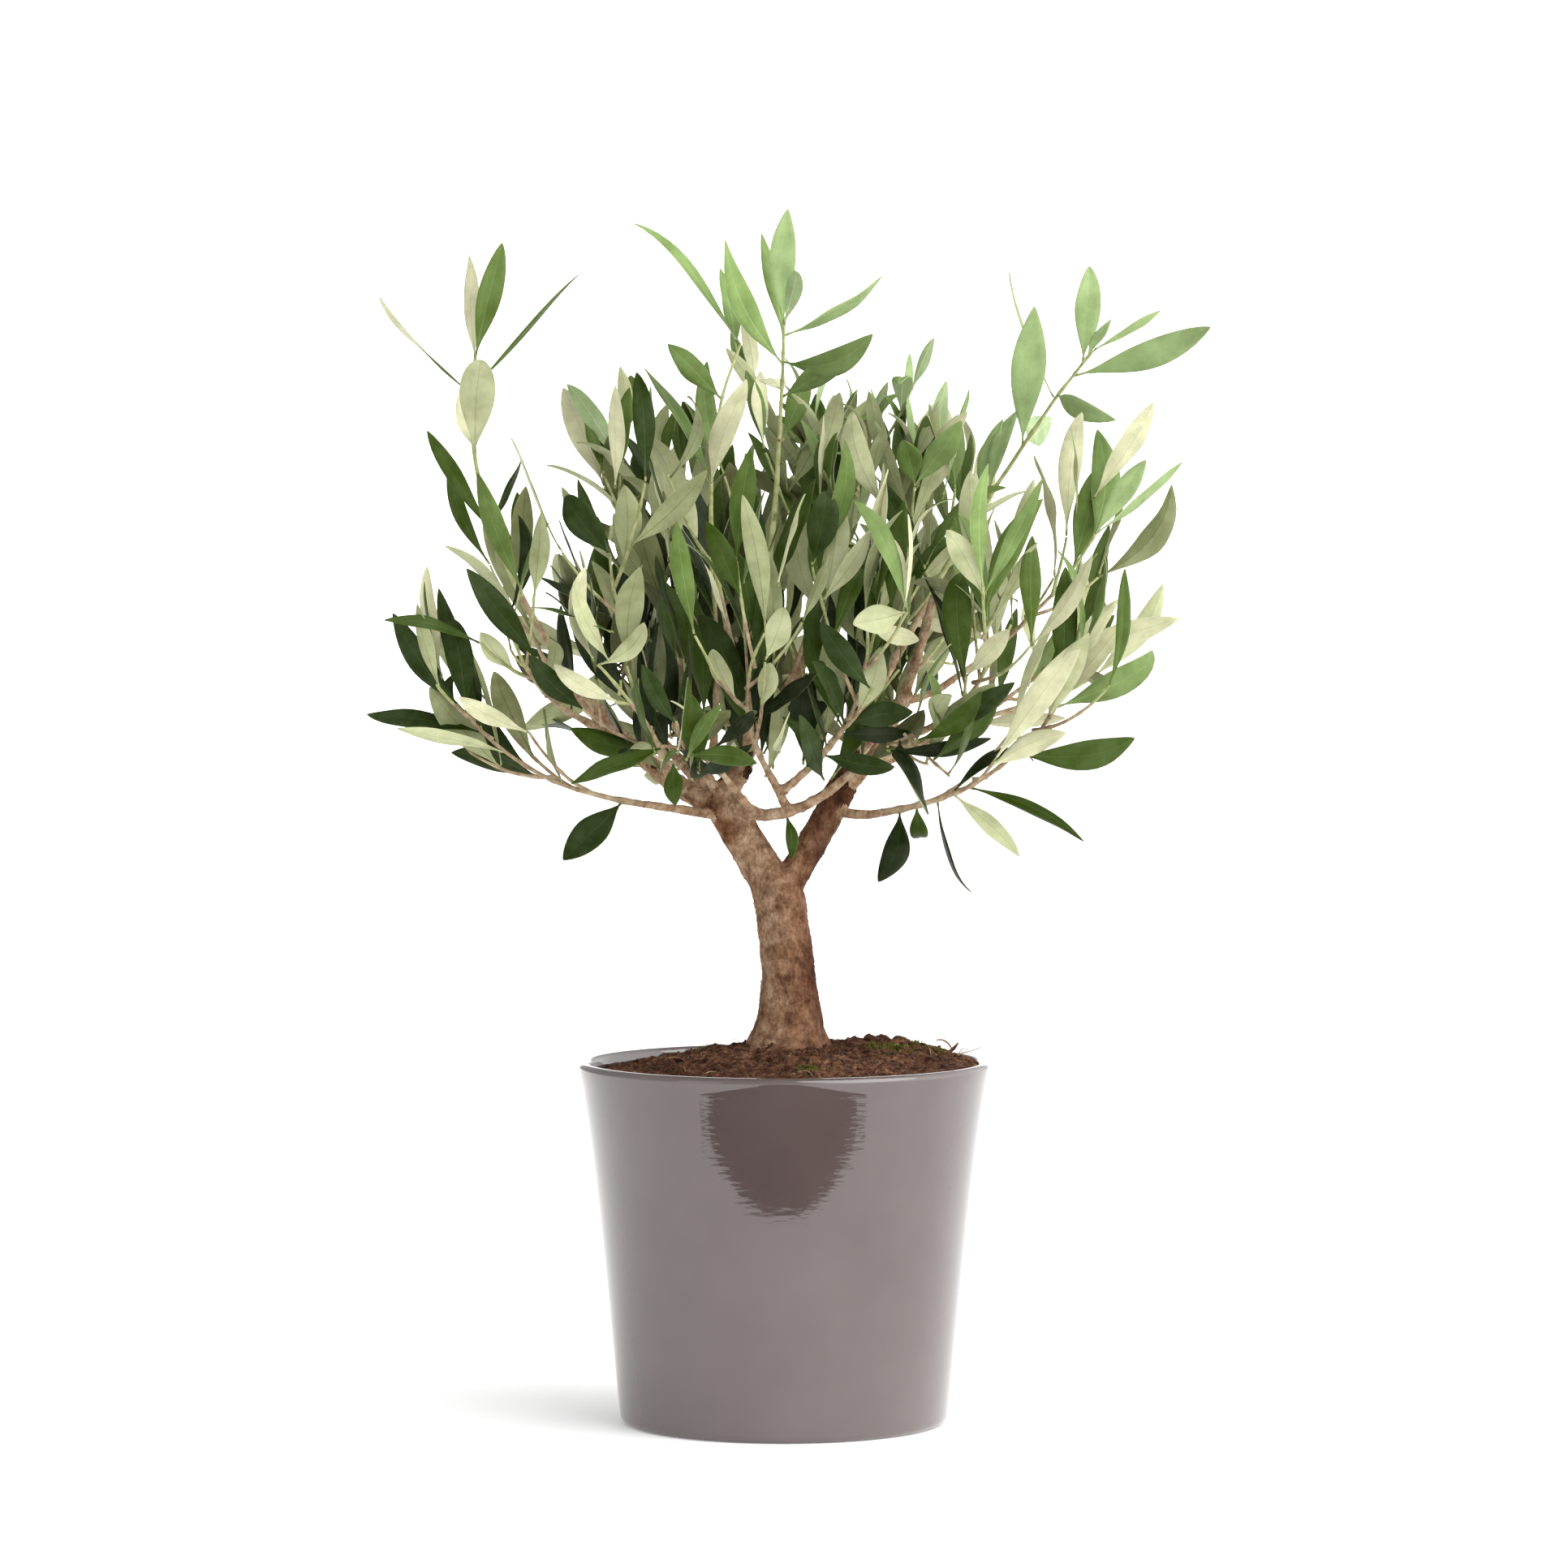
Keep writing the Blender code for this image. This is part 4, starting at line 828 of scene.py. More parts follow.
def make_soil(earth):
    """The soil from the pot's floor up its wall and over its rough top."""
    edge = soil_edge()
    points = []
    for i in range(SOIL_WALL_RINGS):
        z = POT_FLOOR + GAP + (POT_HEIGHT - SOIL_EDGE_DROP - POT_FLOOR) * i / SOIL_WALL_RINGS
        points += [(x, y, z) for x, y in circle(pot_radius(z) - POT_WALL - GAP, SOIL_SEGMENTS)]
    for i in range(SOIL_RINGS):
        radius = edge * (1 - i / SOIL_RINGS)
        points += [(x, y, soil_surface(x, y)) for x, y in circle(radius, SOIL_SEGMENTS)]
    faces = ring_faces(SOIL_WALL_RINGS + SOIL_RINGS, SOIL_SEGMENTS)
    piece("soil_surface", points, faces, [earth], ["soil"])


LUMP_WIDE, LUMP_HIGH = (0.7, 1.3), (0.5, 0.9)  # how far a lump is from round
LUMP_UNEVEN = (0.45, 1.7)  # depth and frequency of its dents
LARGE_LUMP = 0.0016
NOISE_SHIFT = 50  # moves each lump to another part of the noise


def lump(centre, size, rng):
    """A rounded, uneven lump as points and faces, finer for a large one."""
    bm = bmesh.new()
    bmesh.ops.create_icosphere(bm, subdivisions=2 if size > LARGE_LUMP else 1, radius=1.0)
    shift = Vector((rng.uniform(0, NOISE_SHIFT), rng.uniform(0, NOISE_SHIFT), 0))
    stretch = Vector((rng.uniform(*LUMP_WIDE), rng.uniform(*LUMP_WIDE), rng.uniform(*LUMP_HIGH)))
    points = []
    for vert in bm.verts:
        reach = 1.0 + LUMP_UNEVEN[0] * noise.noise(vert.co * LUMP_UNEVEN[1] + shift)
        points.append(centre + vert.co * stretch * (size * reach))
    faces = [tuple(vert.index for vert in face.verts) for face in bm.faces]
    bm.free()
    return points, faces


STRAND_RINGS, STRAND_SIDES = 9, 5
STRAND_WANDER = 0.22
STRAND_TAPER = 0.6


def strand(start, heading, length, radius, rng, droop=0.0):
    """A thin wandering root or fibre as points and faces."""
    path = [start]
    down = Vector((0, 0, droop))
    for _ in range(STRAND_RINGS):
        stray = Vector([rng.gauss(0, STRAND_WANDER) for _ in range(3)])
        heading = (heading + stray - down).normalized()
        path.append(path[-1] + heading * length / STRAND_RINGS)
    radii = [radius * (1 - STRAND_TAPER * i / STRAND_RINGS) for i in range(STRAND_RINGS + 1)]
    return tube_points(path, radii, STRAND_SIDES), ring_faces(STRAND_RINGS + 1, STRAND_SIDES)


def join(parts):
    """Points and faces of many parts as one, with each part's faces counted."""
    points, faces, counts = [], [], []
    for part_points, part_faces in parts:
        base = len(points)
        points.extend(part_points)
        faces.extend(tuple(base + index for index in face) for face in part_faces)
        counts.append(len(part_faces))
    return points, faces, counts


def joined_piece(name, parts, material, sharp=None):
    """Many parts of one material as one piece."""
    points, faces, _ = join(parts)
    piece(name, points, faces, [material], sharp=sharp)


def on_soil(radius, angle, sink=0.0):
    """The place on the soil at that radius and angle, sunk in a little."""
    x, y = radius * math.cos(angle), radius * math.sin(angle)
    return Vector((x, y, soil_surface(x, y) - sink))


LOOSE_CRUMBS = 1100
CRUMB_SIZES = (0.0006, 0.0018, 4)  # the least, how much more, and how rare the large ones are
CRUMB_SUNK = 0.3  # of its size
CRUMBS_OFF_WALL = 0.003
HEAPS = (  # x, y, spread, how many, and the sizes of the crumbs in them
    (SOIL_MOUND[0], SOIL_MOUND[1], 0.016, 90, (0.0006, 0.0017)),
    (0.036, 0.014, 0.0024, 5, (0.0022, 0.0034)),
    (0.054, 0.004, 0.0020, 4, (0.0018, 0.0026)),
    (0.069, 0.004, 0.006, 50, (0.0006, 0.0014)),
    (-0.060, 0.010, 0.008, 30, (0.0007, 0.0022)),
)
HEAPED = (-0.4, 0.3)  # how high a heap's crumb lies, of its size


def make_crumbs(earth):
    """Loose crumbs that lie in the soil, with some heaps of larger ones."""
    rng = random.Random(CRUMB_SEED)
    least, more, rare = CRUMB_SIZES
    parts = []
    for _ in range(LOOSE_CRUMBS):
        radius = (soil_edge() - CRUMBS_OFF_WALL) * math.sqrt(rng.random())
        size = least + more * rng.random() ** rare
        parts.append(lump(on_soil(radius, rng.uniform(0, 2 * math.pi), size * CRUMB_SUNK), size, rng))
    for heap_x, heap_y, spread, count, (low, high) in HEAPS:
        for _ in range(count):
            place = Vector((rng.gauss(heap_x, spread), rng.gauss(heap_y, spread), 0))
            size = low + (high - low) * rng.random() ** 2
            if place.length + size < soil_edge():
                place.z = soil_surface(place.x, place.y) + size * rng.uniform(*HEAPED)
                parts.append(lump(place, size, rng))
    joined_piece("soil_crumbs", parts, earth)


FIBRES = 70
FIBRE_REACH = 0.074
FIBRE_SUNK = 0.0004
FIBRE_RISE = 0.25
FIBRE_LENGTH = (0.004, 0.012)
FIBRE_RADIUS = 0.00022
FIBRE_DROOP = 0.12
ROOTLETS_AT = (0.0755, 0.004)  # two dry rootlets that stand up at the right edge
ROOTLETS = (  # the way they point, length, radius and seed
    ((1.0, -0.1, 0.28), 0.013, 0.00035, 9),
    ((0.4, -0.2, 0.8), 0.007, 0.00030, 4),
)


def make_fibres(straw):
    """Fine pale roots and straw in the soil."""
    rng = random.Random(FIBRE_SEED)
    parts = []
    for _ in range(FIBRES):
        start = on_soil(FIBRE_REACH * math.sqrt(rng.random()), rng.uniform(0, 2 * math.pi), FIBRE_SUNK)
        turn = rng.uniform(0, 2 * math.pi)
        heading = Vector((math.cos(turn), math.sin(turn), FIBRE_RISE))
        parts.append(strand(start, heading, rng.uniform(*FIBRE_LENGTH), FIBRE_RADIUS, rng, FIBRE_DROOP))
    foot = Vector((*ROOTLETS_AT, soil_surface(*ROOTLETS_AT)))
    for way, length, radius, seed in ROOTLETS:
        parts.append(strand(foot, Vector(way), length, radius, random.Random(seed)))
    joined_piece("soil_fibres", parts, straw)


MOSS_PATCHES = (  # x, y and size
    (0.041, -0.008, 0.006), (0.050, -0.012, 0.007), (0.056, 0.010, 0.009), (0.067, 0.006, 0.007),
    (-0.036, 0.034, 0.009), (0.010, -0.060, 0.005),
)
MOSS_BLADES = 260  # in each patch
MOSS_SPREAD = 0.5  # of the patch's size
MOSS_SUNK = 0.0003
MOSS_LEAN = 0.8
MOSS_HEIGHT = (0.0007, 0.0022)
MOSS_RADII = (0.00026, 0.00020, 0.00006)
MOSS_SHOULDER = 0.6  # where a blade begins to narrow


def make_moss(moss):
    """Tufts of short moss: thin blades in cushions."""
    rng = random.Random(MOSS_SEED)
    parts = []
    for centre_x, centre_y, spread in MOSS_PATCHES:
        for _ in range(MOSS_BLADES):
            x, y = rng.gauss(centre_x, spread * MOSS_SPREAD), rng.gauss(centre_y, spread * MOSS_SPREAD)
            start = Vector((x, y, soil_surface(x, y) - MOSS_SUNK))
            heading = Vector((rng.gauss(0, MOSS_LEAN), rng.gauss(0, MOSS_LEAN), 1.0)).normalized()
            height = rng.uniform(*MOSS_HEIGHT)
            path = [start, start + heading * height * MOSS_SHOULDER, start + heading * height]
            parts.append((tube_points(path, MOSS_RADII, 3), ring_faces(3, 3)))
    joined_piece("moss_tufts", parts, moss)


# ---------------------------------------------------------------- trunk, limbs and boughs


def trunk_radii():
    """The trunk's radius at each ring, flared towards the roots."""
    radii = []
    for i in range(TRUNK_RINGS + 1):
        t = i / TRUNK_RINGS
        flare = TRUNK_FLARE * math.exp(-t / TRUNK_FLARE_FALL)
        radii.append(TRUNK_RADIUS * (1 + TRUNK_TAPER * (1 - t)) + flare)
    return radii


def root_lobes(ring, angle):
    """How much further out the root flare reaches at an angle."""
    depth = ROOT_LOBE_DEPTH * math.exp(-ring / TRUNK_RINGS / (2 * TRUNK_FLARE_FALL))
    uneven = 1 - ROOT_LOBE_UNEVEN * (1 - math.cos(angle))
    return 1 + depth * math.cos(ROOT_LOBES * angle + ROOT_LOBE_START) * uneven


def dome_end(path, radii):
    """Rounds a limb's far end with one more, smaller ring."""
    heading = (path[-1] - path[-2]).normalized()
    return path + [path[-1] + heading * radii[-1] * DOME_HEIGHT], radii + [radii[-1] * DOME_RADIUS]


def limb_shape(limb, shapes):
    """The path and radii of a limb, from its parent's axis to its tip, a little swollen at its foot."""
    parent_path = shapes[limb.parent][0]
    start, _, _ = along(parent_path, limb.at * path_length(parent_path))
    elbow, tip = metres(limb.elbow), metres(limb.tip)
    count = max(3, round(((elbow - start).length + (tip - elbow).length) / LIMB_STEP))
    path = elbow_curve(start, elbow, tip, count)
    foot, end = (radius * 0.001 for radius in limb.radii)
    radii = []
    for i in range(count + 1):
        t = i / count
        radii.append((foot + (end - foot) * t) * (1 + LIMB_SWELLING * math.exp(-t * LIMB_SWELLING_FALL)))
    return path, radii


def limb_shapes():
    """The frame's own paths and radii of the trunk, the limbs and the boughs."""
    path = elbow_curve(TRUNK_FOOT, TRUNK_ELBOW, TRUNK_TOP, TRUNK_RINGS)
    path[1].xy = TRUNK_FOOT.xy
    shapes = {"trunk": dome_end(path, trunk_radii())}
    for limb in LIMBS:
        path, radii = limb_shape(limb, shapes)
        if limb.name.startswith("limb_"):
            path, radii = dome_end(path, radii)
        shapes[limb.name] = (path, radii)
    return shapes


# ---------------------------------------------------------------- the rule of the foliage, as in the frame


def segments_of(path):
    """The starts and the ends of a path's stretches, as two tables."""
    points = np.array([tuple(p) for p in path])
    return points[:-1], points[1:]


def nearest_on(points, starts, ends):
    """The point of each segment that is nearest each given point, as a table."""
    line = ends - starts
    share = ((points[:, None] - starts) * line).sum(2) / np.maximum((line * line).sum(1), 1e-12)
    return starts + np.clip(share, 0, 1)[..., None] * line


def distances(points, starts, ends):
    """How far each point is from each segment, as a table."""
    return np.linalg.norm(points[:, None] - nearest_on(points, starts, ends), axis=2)


class Space:
    """The room that one mass keeps to: nearer to its own stem than to any other, and clear of the limbs."""

    def __init__(self, own, stems, shapes, placed):
        self.own = segments_of(stems[own].path)
        others = [segments_of(twig.path) for name, twig in stems.items() if name != own]
        self.others = tuple(np.concatenate(ends) for ends in zip(*others))
        limbs = [segments_of(path) for path, _ in shapes]
        self.limbs = tuple(np.concatenate(ends) for ends in zip(*limbs))
        self.limb_radii = np.concatenate([np.maximum(radii[:-1], radii[1:]) for _, radii in shapes])
        self.taken = np.concatenate([leaf_samples(leaf) for leaf in placed])
        self.spacing = LEAF_SPACING

    def holds(self, points):
        """Whether the points lie in the room that the mass keeps to."""
        if points[:, 2].min() < LOWEST_LEAF or points[:, 2].max() > HIGHEST_LEAF:
            return False
        if np.hypot(points[:, 0], points[:, 1]).max() > WIDEST_LEAF:
            return False
        own = distances(points, *self.own).min(1)
        other = distances(points, *self.others).min(1)
        if (own + SPACE_MARGIN > other).any():
            return False
        return self.off_limbs(points)

    def off_limbs(self, points):
        """Whether they are clear of trunk, limbs and boughs."""
        limb = distances(points, *self.limbs) - self.limb_radii
        return limb.min() > LIMB_MARGIN

    def free(self, points):
        """Whether no leaf or twig of the mass is near them yet."""
        gaps = np.linalg.norm(points[:, None] - self.taken, axis=2)
        return gaps.min() > self.spacing

    def take(self, points):
        self.taken = np.concatenate([self.taken, points])


def stem_of(mass, shape):
    """The mass's stem: it carries on from the bough's end, a gap clear of it, and bends to its tip."""
    bough_path, bough_radii = shape
    heading = (bough_path[-1] - bough_path[-2]).normalized()
    start = bough_path[-1] + heading * GAP
    tip = metres(mass.tip)
    reach = (tip - start).length
    curve = (start, start + heading * reach * STEM_REACH, tip)
    return Twig(curve, elbow_curve(*curve, max(3, round(reach / STEM_STEP))), bough_radii[-1], [])


def side_twig(mass, index, stem, rng):
    """One side twig: it leaves the stem at an angle, further round for each one, and turns up."""
    low, high = SIDE_SHARES
    share = low + (high - low) * (index + rng.uniform(*SIDE_PLACE)) / mass.sides
    start, tangent, side = along(stem, share * path_length(stem))
    turn = math.radians(SPIRAL * index + rng.uniform(-SIDE_WANDER, SIDE_WANDER) + SEED_TURN * mass.seed)
    radial = swung(side, tangent.cross(side), turn)
    angle = math.radians(rng.uniform(*SIDE_ANGLE))
    heading = swung(tangent, radial, angle)
    shorter = (SIDE_LENGTHS[0] - SIDE_LENGTHS[1]) * share
    length = mass.side * 0.001 * (SIDE_LENGTHS[0] - shorter) * rng.uniform(*SIDE_SPREAD)
    curve = twig_curve(start, heading, length)
    return Twig(curve, elbow_curve(*curve, max(2, round(length / STEM_STEP))), SIDE_RADIUS, [])


def twig_curve(start, heading, length, lift=TWIG_LIFT):
    """A twig's curve: off along its heading, then up by lift times its length."""
    lift = Vector((0, 0, length * lift))
    return start, start + heading * length * TWIG_ELBOW, start + heading * length + lift


def twig_samples(path):
    length = path_length(path)
    count = max(2, round(length / TWIG_SAMPLE))
    return np.array([tuple(along(path, length * i / count)[0]) for i in range(count + 1)])


def leaf_point(leaf, share):
    """The point at that share of the leaf's middle line, and the blade's normal there."""
    turned = leaf.bend * share
    if abs(leaf.bend) < 1e-3:
        return leaf.root + leaf.axis * leaf.length * share, leaf.normal
    ahead = math.sin(turned) / leaf.bend
    down = (1 - math.cos(turned)) / leaf.bend
    point = leaf.root + (leaf.axis * ahead - leaf.normal * down) * leaf.length
    return point, swung(leaf.normal, leaf.axis, turned)


def leaf_samples(leaf):
    """Points over the blade, leaving out its root."""
    side = leaf.axis.cross(leaf.normal)
    points = []
    for share in LEAF_SAMPLES:
        centre, normal = leaf_point(leaf, share)
        half = leaf.width / 2 * (1 - abs(share - LEAF_MIDDLE) / 0.5)
        points.append(centre)
        for way in (-1, 1) if half > LEAST_HALF_WIDTH else ():
            points.append(centre + (side * way + normal * LEAF_FOLD) * half)
    return np.array([tuple(p) for p in points])


def one_leaf(mass, path, distance, share, out, rng):
    """A leaf that leaves the twig on the side `out`, upright near the twig's end and spread at its foot."""
    root, tangent, _ = along(path, max(distance - LEAF_SINK, 0.0))
    out = (out - tangent * out.dot(tangent)).normalized()
    low, high = LEAF_ANGLE
    angle = math.radians(low + (high - low) * share + rng.uniform(-LEAF_WANDER, LEAF_WANDER))
    axis = (swung(tangent, out, angle) + Vector((0, 0, LEAF_RISE))).normalized()
    normal = (tangent - axis * tangent.dot(axis)).normalized()
    turn = math.radians(rng.uniform(-LEAF_TURN, LEAF_TURN))
    normal = swung(normal, axis.cross(normal), turn)
    grown = 1 - LEAF_SHORTER[0] * (1 - share) ** 2 - LEAF_SHORTER[1] * share**4
    length = mass.leaf * 0.001 * grown * rng.uniform(*LEAF_LENGTHS)
    bend = math.radians(rng.gauss(*LEAF_BEND))
    return Leaf(root, axis, normal, length, length * rng.uniform(*LEAF_SLENDER), bend)


def placed_leaf(placed, stem):
    """A leaf that ends at its given tip and shows the face that it is given."""
    length = path_length(stem)
    root, _, _ = along(stem, min(placed.at * length, length - STEM_END))
    chord = metres(placed.tip) - root
    reach = chord.length
    chord.normalize()
    normal = FRONT - chord * FRONT.dot(chord)
    normal.normalize()
    turn = math.radians(placed.face)
    normal = swung(normal, chord.cross(normal), turn)
    half_bend = math.radians(placed.bend) / 2
    axis = swung(chord, normal, half_bend)
    normal = normal * math.cos(half_bend) - chord * math.sin(half_bend)
    if half_bend:
        reach *= half_bend / math.sin(half_bend)
    return Leaf(root, axis, normal, reach, placed.width * 0.001, 2 * half_bend)


def leaves_on(mass, twig, space, rng):
    """Pairs of leaves along a twig, each pair turned from the last. A leaf with no room is left out."""
    if not mass.step:
        return []
    path = twig.path
    length = path_length(path)
    count = max(1, round((length - BARE) / (mass.step * 0.001)))
    turn = PAIR_START + PAIR_TURN * rng.randrange(3)
    found = []
    for i in range(count + 1):
        distance = BARE + (length - BARE - 0.001) * i / count
        _, tangent, side = along(path, distance)
        for way in (0, 180):
            for _ in range(LEAF_TRIES):
                angle = math.radians(turn + way + rng.uniform(-PAIR_WANDER, PAIR_WANDER))
                out = swung(side, tangent.cross(side), angle)
                leaf = one_leaf(mass, path, distance, distance / length, out, rng)
                samples = leaf_samples(leaf)
                if space.holds(samples) and space.free(samples):
                    space.take(samples)
                    share = distance / length
                    found.append(Grown(onto_curve(leaf, twig, distance - LEAF_SINK), share, False))
                    if not twig.nodes or twig.nodes[-1] != share:
                        twig.nodes.append(share)
                    break
        turn += PAIR_TURN
    return found


def onto_curve(leaf, twig, distance):
    """Moves a leaf's root from the twig's straight stretches onto its smooth curve."""
    lengths = [(b - a).length for a, b in zip(twig.path, twig.path[1:])]
    distance = max(distance, 0.0)
    index = 0
    while index < len(lengths) - 1 and distance > lengths[index]:
        distance -= lengths[index]
        index += 1
    t = (index + min(distance / lengths[index], 1.0)) / len(lengths)
    return leaf._replace(root=elbow_point(*twig.curve, t))


def outline_leaves(stems):
    """The placed leaves of each mass, still on the straight stretches of their stems."""
    found = {name: [] for name in stems}
    for name, rows in PLACED.items():
        for placed in (Placed(*row) for row in rows):
            found[name].append((placed, placed_leaf(placed, stems[name].path)))
    return found


def grow(mass, stems, shapes, outline):
    """The frame's own twigs and leaves of a mass, and the room that it has left."""
    rng = random.Random(mass.seed)
    every_placed = [leaf for rows in outline.values() for _, leaf in rows]
    space = Space(mass.name, stems, shapes.values(), every_placed)
    stem = stems[mass.name]
    twigs = [stem]
    for index in range(mass.sides):
        for _ in range(LEAF_TRIES):
            twig = side_twig(mass, index, stem.path, rng)
            samples = twig_samples(twig.path)
            if space.holds(samples[1:]):
                twigs.append(twig)
                break
    for twig in twigs:
        space.take(twig_samples(twig.path))
    leaves = []
    for placed, leaf in outline[mass.name]:
        leaves.append(Grown(onto_curve(leaf, stem, placed.at * path_length(stem.path)), placed.at, True))
        stem.nodes.append(placed.at)
    for twig in twigs:
        leaves += leaves_on(mass, twig, space, rng)
    return twigs, leaves, space


# ---------------------------------------------------------------- the rule carried on


def fine_twig(mass, parent, rng):
    """A finer twig off one of the mass's twigs."""
    start, tangent, side = along(parent.path, rng.uniform(*FINE_PLACE) * path_length(parent.path))
    turn = rng.uniform(0, 2 * math.pi)
    radial = swung(side, tangent.cross(side), turn)
    angle = math.radians(rng.uniform(*FINE_ANGLE))
    heading = swung(tangent, radial, angle)
    length = mass.side * 0.001 * rng.uniform(*FINE_LENGTH)
    curve = twig_curve(start, heading, length, rng.uniform(*FINE_LIFT))
    return Twig(curve, elbow_curve(*curve, FINE_POINTS), FINE_RADIUS, [])


def under_dome(leaf, rng):
    """The leaf, shorter where it would end above the crown's uneven top."""
    top = (DOME_LEFT if leaf.root.x < 0 else DOME_RIGHT) - DOME_UNEVEN * rng.random() ** 2
    high = leaf_samples(leaf)[:, 2].max()
    if high <= top:
        return leaf
    share = max(DOME_SHORTEST, min(1.0, (top - leaf.root.z) / (high - leaf.root.z)))
    return leaf._replace(length=leaf.length * share, width=leaf.width * math.sqrt(share))


def raised(grown, space, rng):
    """A leaf of the rule turned further up to the light, and longer, where no limb is in its way."""
    leaf = grown.leaf
    lift = 0 if rng.random() < LEAF_DROOPING else rng.uniform(*LEAF_RAISED)
    longer = rng.uniform(*LEAF_LONGER)
    facing = rng.uniform(*LEAF_FACING) * (-1 if rng.random() < LEAF_BACK else 1)
    tip = leaf.root + leaf.axis * leaf.length
    outward = Vector((tip.x, tip.y, 0)).normalized()
    for share in LEAF_TURNED:
        axis = (leaf.axis + Vector((0, 0, lift * share))).normalized()
        normal = leaf.normal + outward * facing
        normal = (normal - axis * axis.dot(normal)).normalized()
        turned = leaf._replace(axis=axis, normal=normal, length=leaf.length * longer)
        samples = leaf_samples(turned)
        low_enough = samples[:, 2].max() < HIGHEST_LEAF
        narrow_enough = np.hypot(samples[:, 0], samples[:, 1]).max() < WIDEST_LEAF
        deep_enough = samples[:, 1].min() > FRONT_MOST and samples[:, 1].max() < BACK_MOST
        if low_enough and narrow_enough and deep_enough and space.off_limbs(samples[1:]):
            return grown._replace(leaf=turned)
    return grown


def between_leaves(mass, twigs, space, rng):
    """More leaves on twigs that have some. Their nodes stay as they are."""
    bare = [Twig(twig.curve, twig.path, twig.foot, []) for twig in twigs]
    return [grown for twig in bare for grown in leaves_on(mass, twig, space, rng)]


def grow_on(mass, twigs, bough, space):
    """Finer twigs on the mass's twigs and on its bough, then more leaves wherever there is room."""
    rng = random.Random(FINE_SEED + mass.seed)
    space.spacing = FINE_SPACING
    finer = []
    open_mass = mass.name in OPEN_MASSES
    bough_path, bough_radii = bough
    wood = Twig((), bough_path[len(bough_path) // 3:], bough_radii[-1], [])
    tries = OPEN_TWIGS if open_mass else DENSE_TWIGS + BOUGH_TWIGS
    for index in range(tries if mass.step else 0):
        for _ in range(LEAF_TRIES):
            parent = wood if index >= DENSE_TWIGS else rng.choice(twigs)
            twig = fine_twig(mass, parent, rng)
            samples = twig_samples(twig.path)
            high_enough = samples[2:, 2].min() > LOWEST_TWIG
            if high_enough and space.holds(samples[2:]) and space.free(samples[2:]):
                space.take(samples)
                finer.append(twig)
                break
    fine_mass = mass._replace(step=mass.step * FINE_STEP, leaf=mass.leaf * FINE_LEAF)
    leaves = [grown for twig in finer for grown in leaves_on(fine_mass, twig, space, rng)]
    finer = [twig for twig in finer if twig.nodes and twig.nodes[-1] > LEAST_LAST_NODE]
    if not open_mass:
        leaves += between_leaves(fine_mass, twigs, space, rng)
    if mass.name in SHOOT_STEPS:
        extra = between_leaves(mass._replace(step=SHOOT_STEPS[mass.name]), twigs, space, rng)
        leaves += [grown for grown in extra if grown.leaf.root.z < SHOOT_LEAFY]
    return finer, leaves


FRONT_DEPTH = -0.082  # how far forward a front leaf's twig is looked for
FRONT_DEPTH_SHARE = 0.10  # how much that weighs
FRONT_STEP = 0.002
FRONT_LEAN = 0.008  # how far a front leaf's tip comes forward
FRONT_CLEAR = 0.0040  # a leaf that comes this near in front of one is left out
LEAFY_SAMPLES, LEAFY_REACH = 3, 0.0045  # how a twig's end is searched for leaves
TRIM_STEPS, TRIM_REACH = 16, 0.0024
SPROUT = Vector((0.0010, -0.012, 0.2650))  # a bare stub under the fork, for one hanging leaf


def sprout(shapes):
    """A short twig from the nearest bough down to its place."""
    points = [place for path, _ in shapes.values() for place in path]
    start = min(points, key=lambda place: (place - SPROUT).length)
    middle = (start + SPROUT) / 2
    return Twig((start, middle, SPROUT), [start, middle, SPROUT], FINE_RADIUS, [])


def front_leaf(row, twigs):
    """The leaf, on the twig that passes nearest to its root."""
    wanted = Vector((row.root[0] * 0.001, FRONT_DEPTH, row.root[1] * 0.001))
    best = None
    for twig in twigs:
        length = path_length(twig.path)
        for index in range(1, int(length / FRONT_STEP)):
            place = along(twig.path, index * FRONT_STEP)[0]
            away = place - wanted
            cost = away.x**2 + away.z**2 + FRONT_DEPTH_SHARE * away.y**2
            if best is None or cost < best[0]:
                best = (cost, twig, index * FRONT_STEP, place)
    _, twig, distance, place = best
    tip = (row.tip[0], (place.y - FRONT_LEAN) * 1000, row.tip[1])
    share = distance / path_length(twig.path)
    placed = Placed(0, tip, row.width, row.face, row.bend)
    stretch = [place, place + (twig.path[-1] - twig.path[0])]
    leaf = onto_curve(placed_leaf(placed, stretch), twig, distance)
    twig.nodes.append(share)
    return Grown(leaf, share, True)


def leafy(twig, roots):
    """Whether a fine twig still carries leaves near its end."""
    end = twig_samples(twig.path)[-LEAFY_SAMPLES:]
    near = np.linalg.norm(roots[:, None] - end, axis=2).min(1) < LEAFY_REACH
    return near.sum() >= 2


def trimmed(twig, roots):
    """The twig, cut short beyond its last leaf or side twig."""
    for step in range(TRIM_STEPS, 1, -1):
        share = step / TRIM_STEPS
        end = elbow_point(*twig.curve, share)
        if np.linalg.norm(roots - np.array(end), axis=1).min() < TRIM_REACH:
            break
    start, elbow, _ = twig.curve
    curve = (start, start + (elbow - start) * share, end)
    nodes = [node / share for node in twig.nodes if node <= share]
    return Twig(curve, elbow_curve(*curve, FINE_POINTS), twig.foot, nodes)


def hides(leaf, front):
    """Whether a leaf stands in front of a front leaf."""
    ours, theirs = leaf_samples(leaf), leaf_samples(front)
    aside = np.linalg.norm((ours[:, None] - theirs)[..., [0, 2]], axis=2)
    ahead = (ours[:, None] - theirs)[..., 1]
    return ((aside < FRONT_CLEAR) & (ahead < FRONT_CLEAR)).any()


# ---------------------------------------------------------------- wood


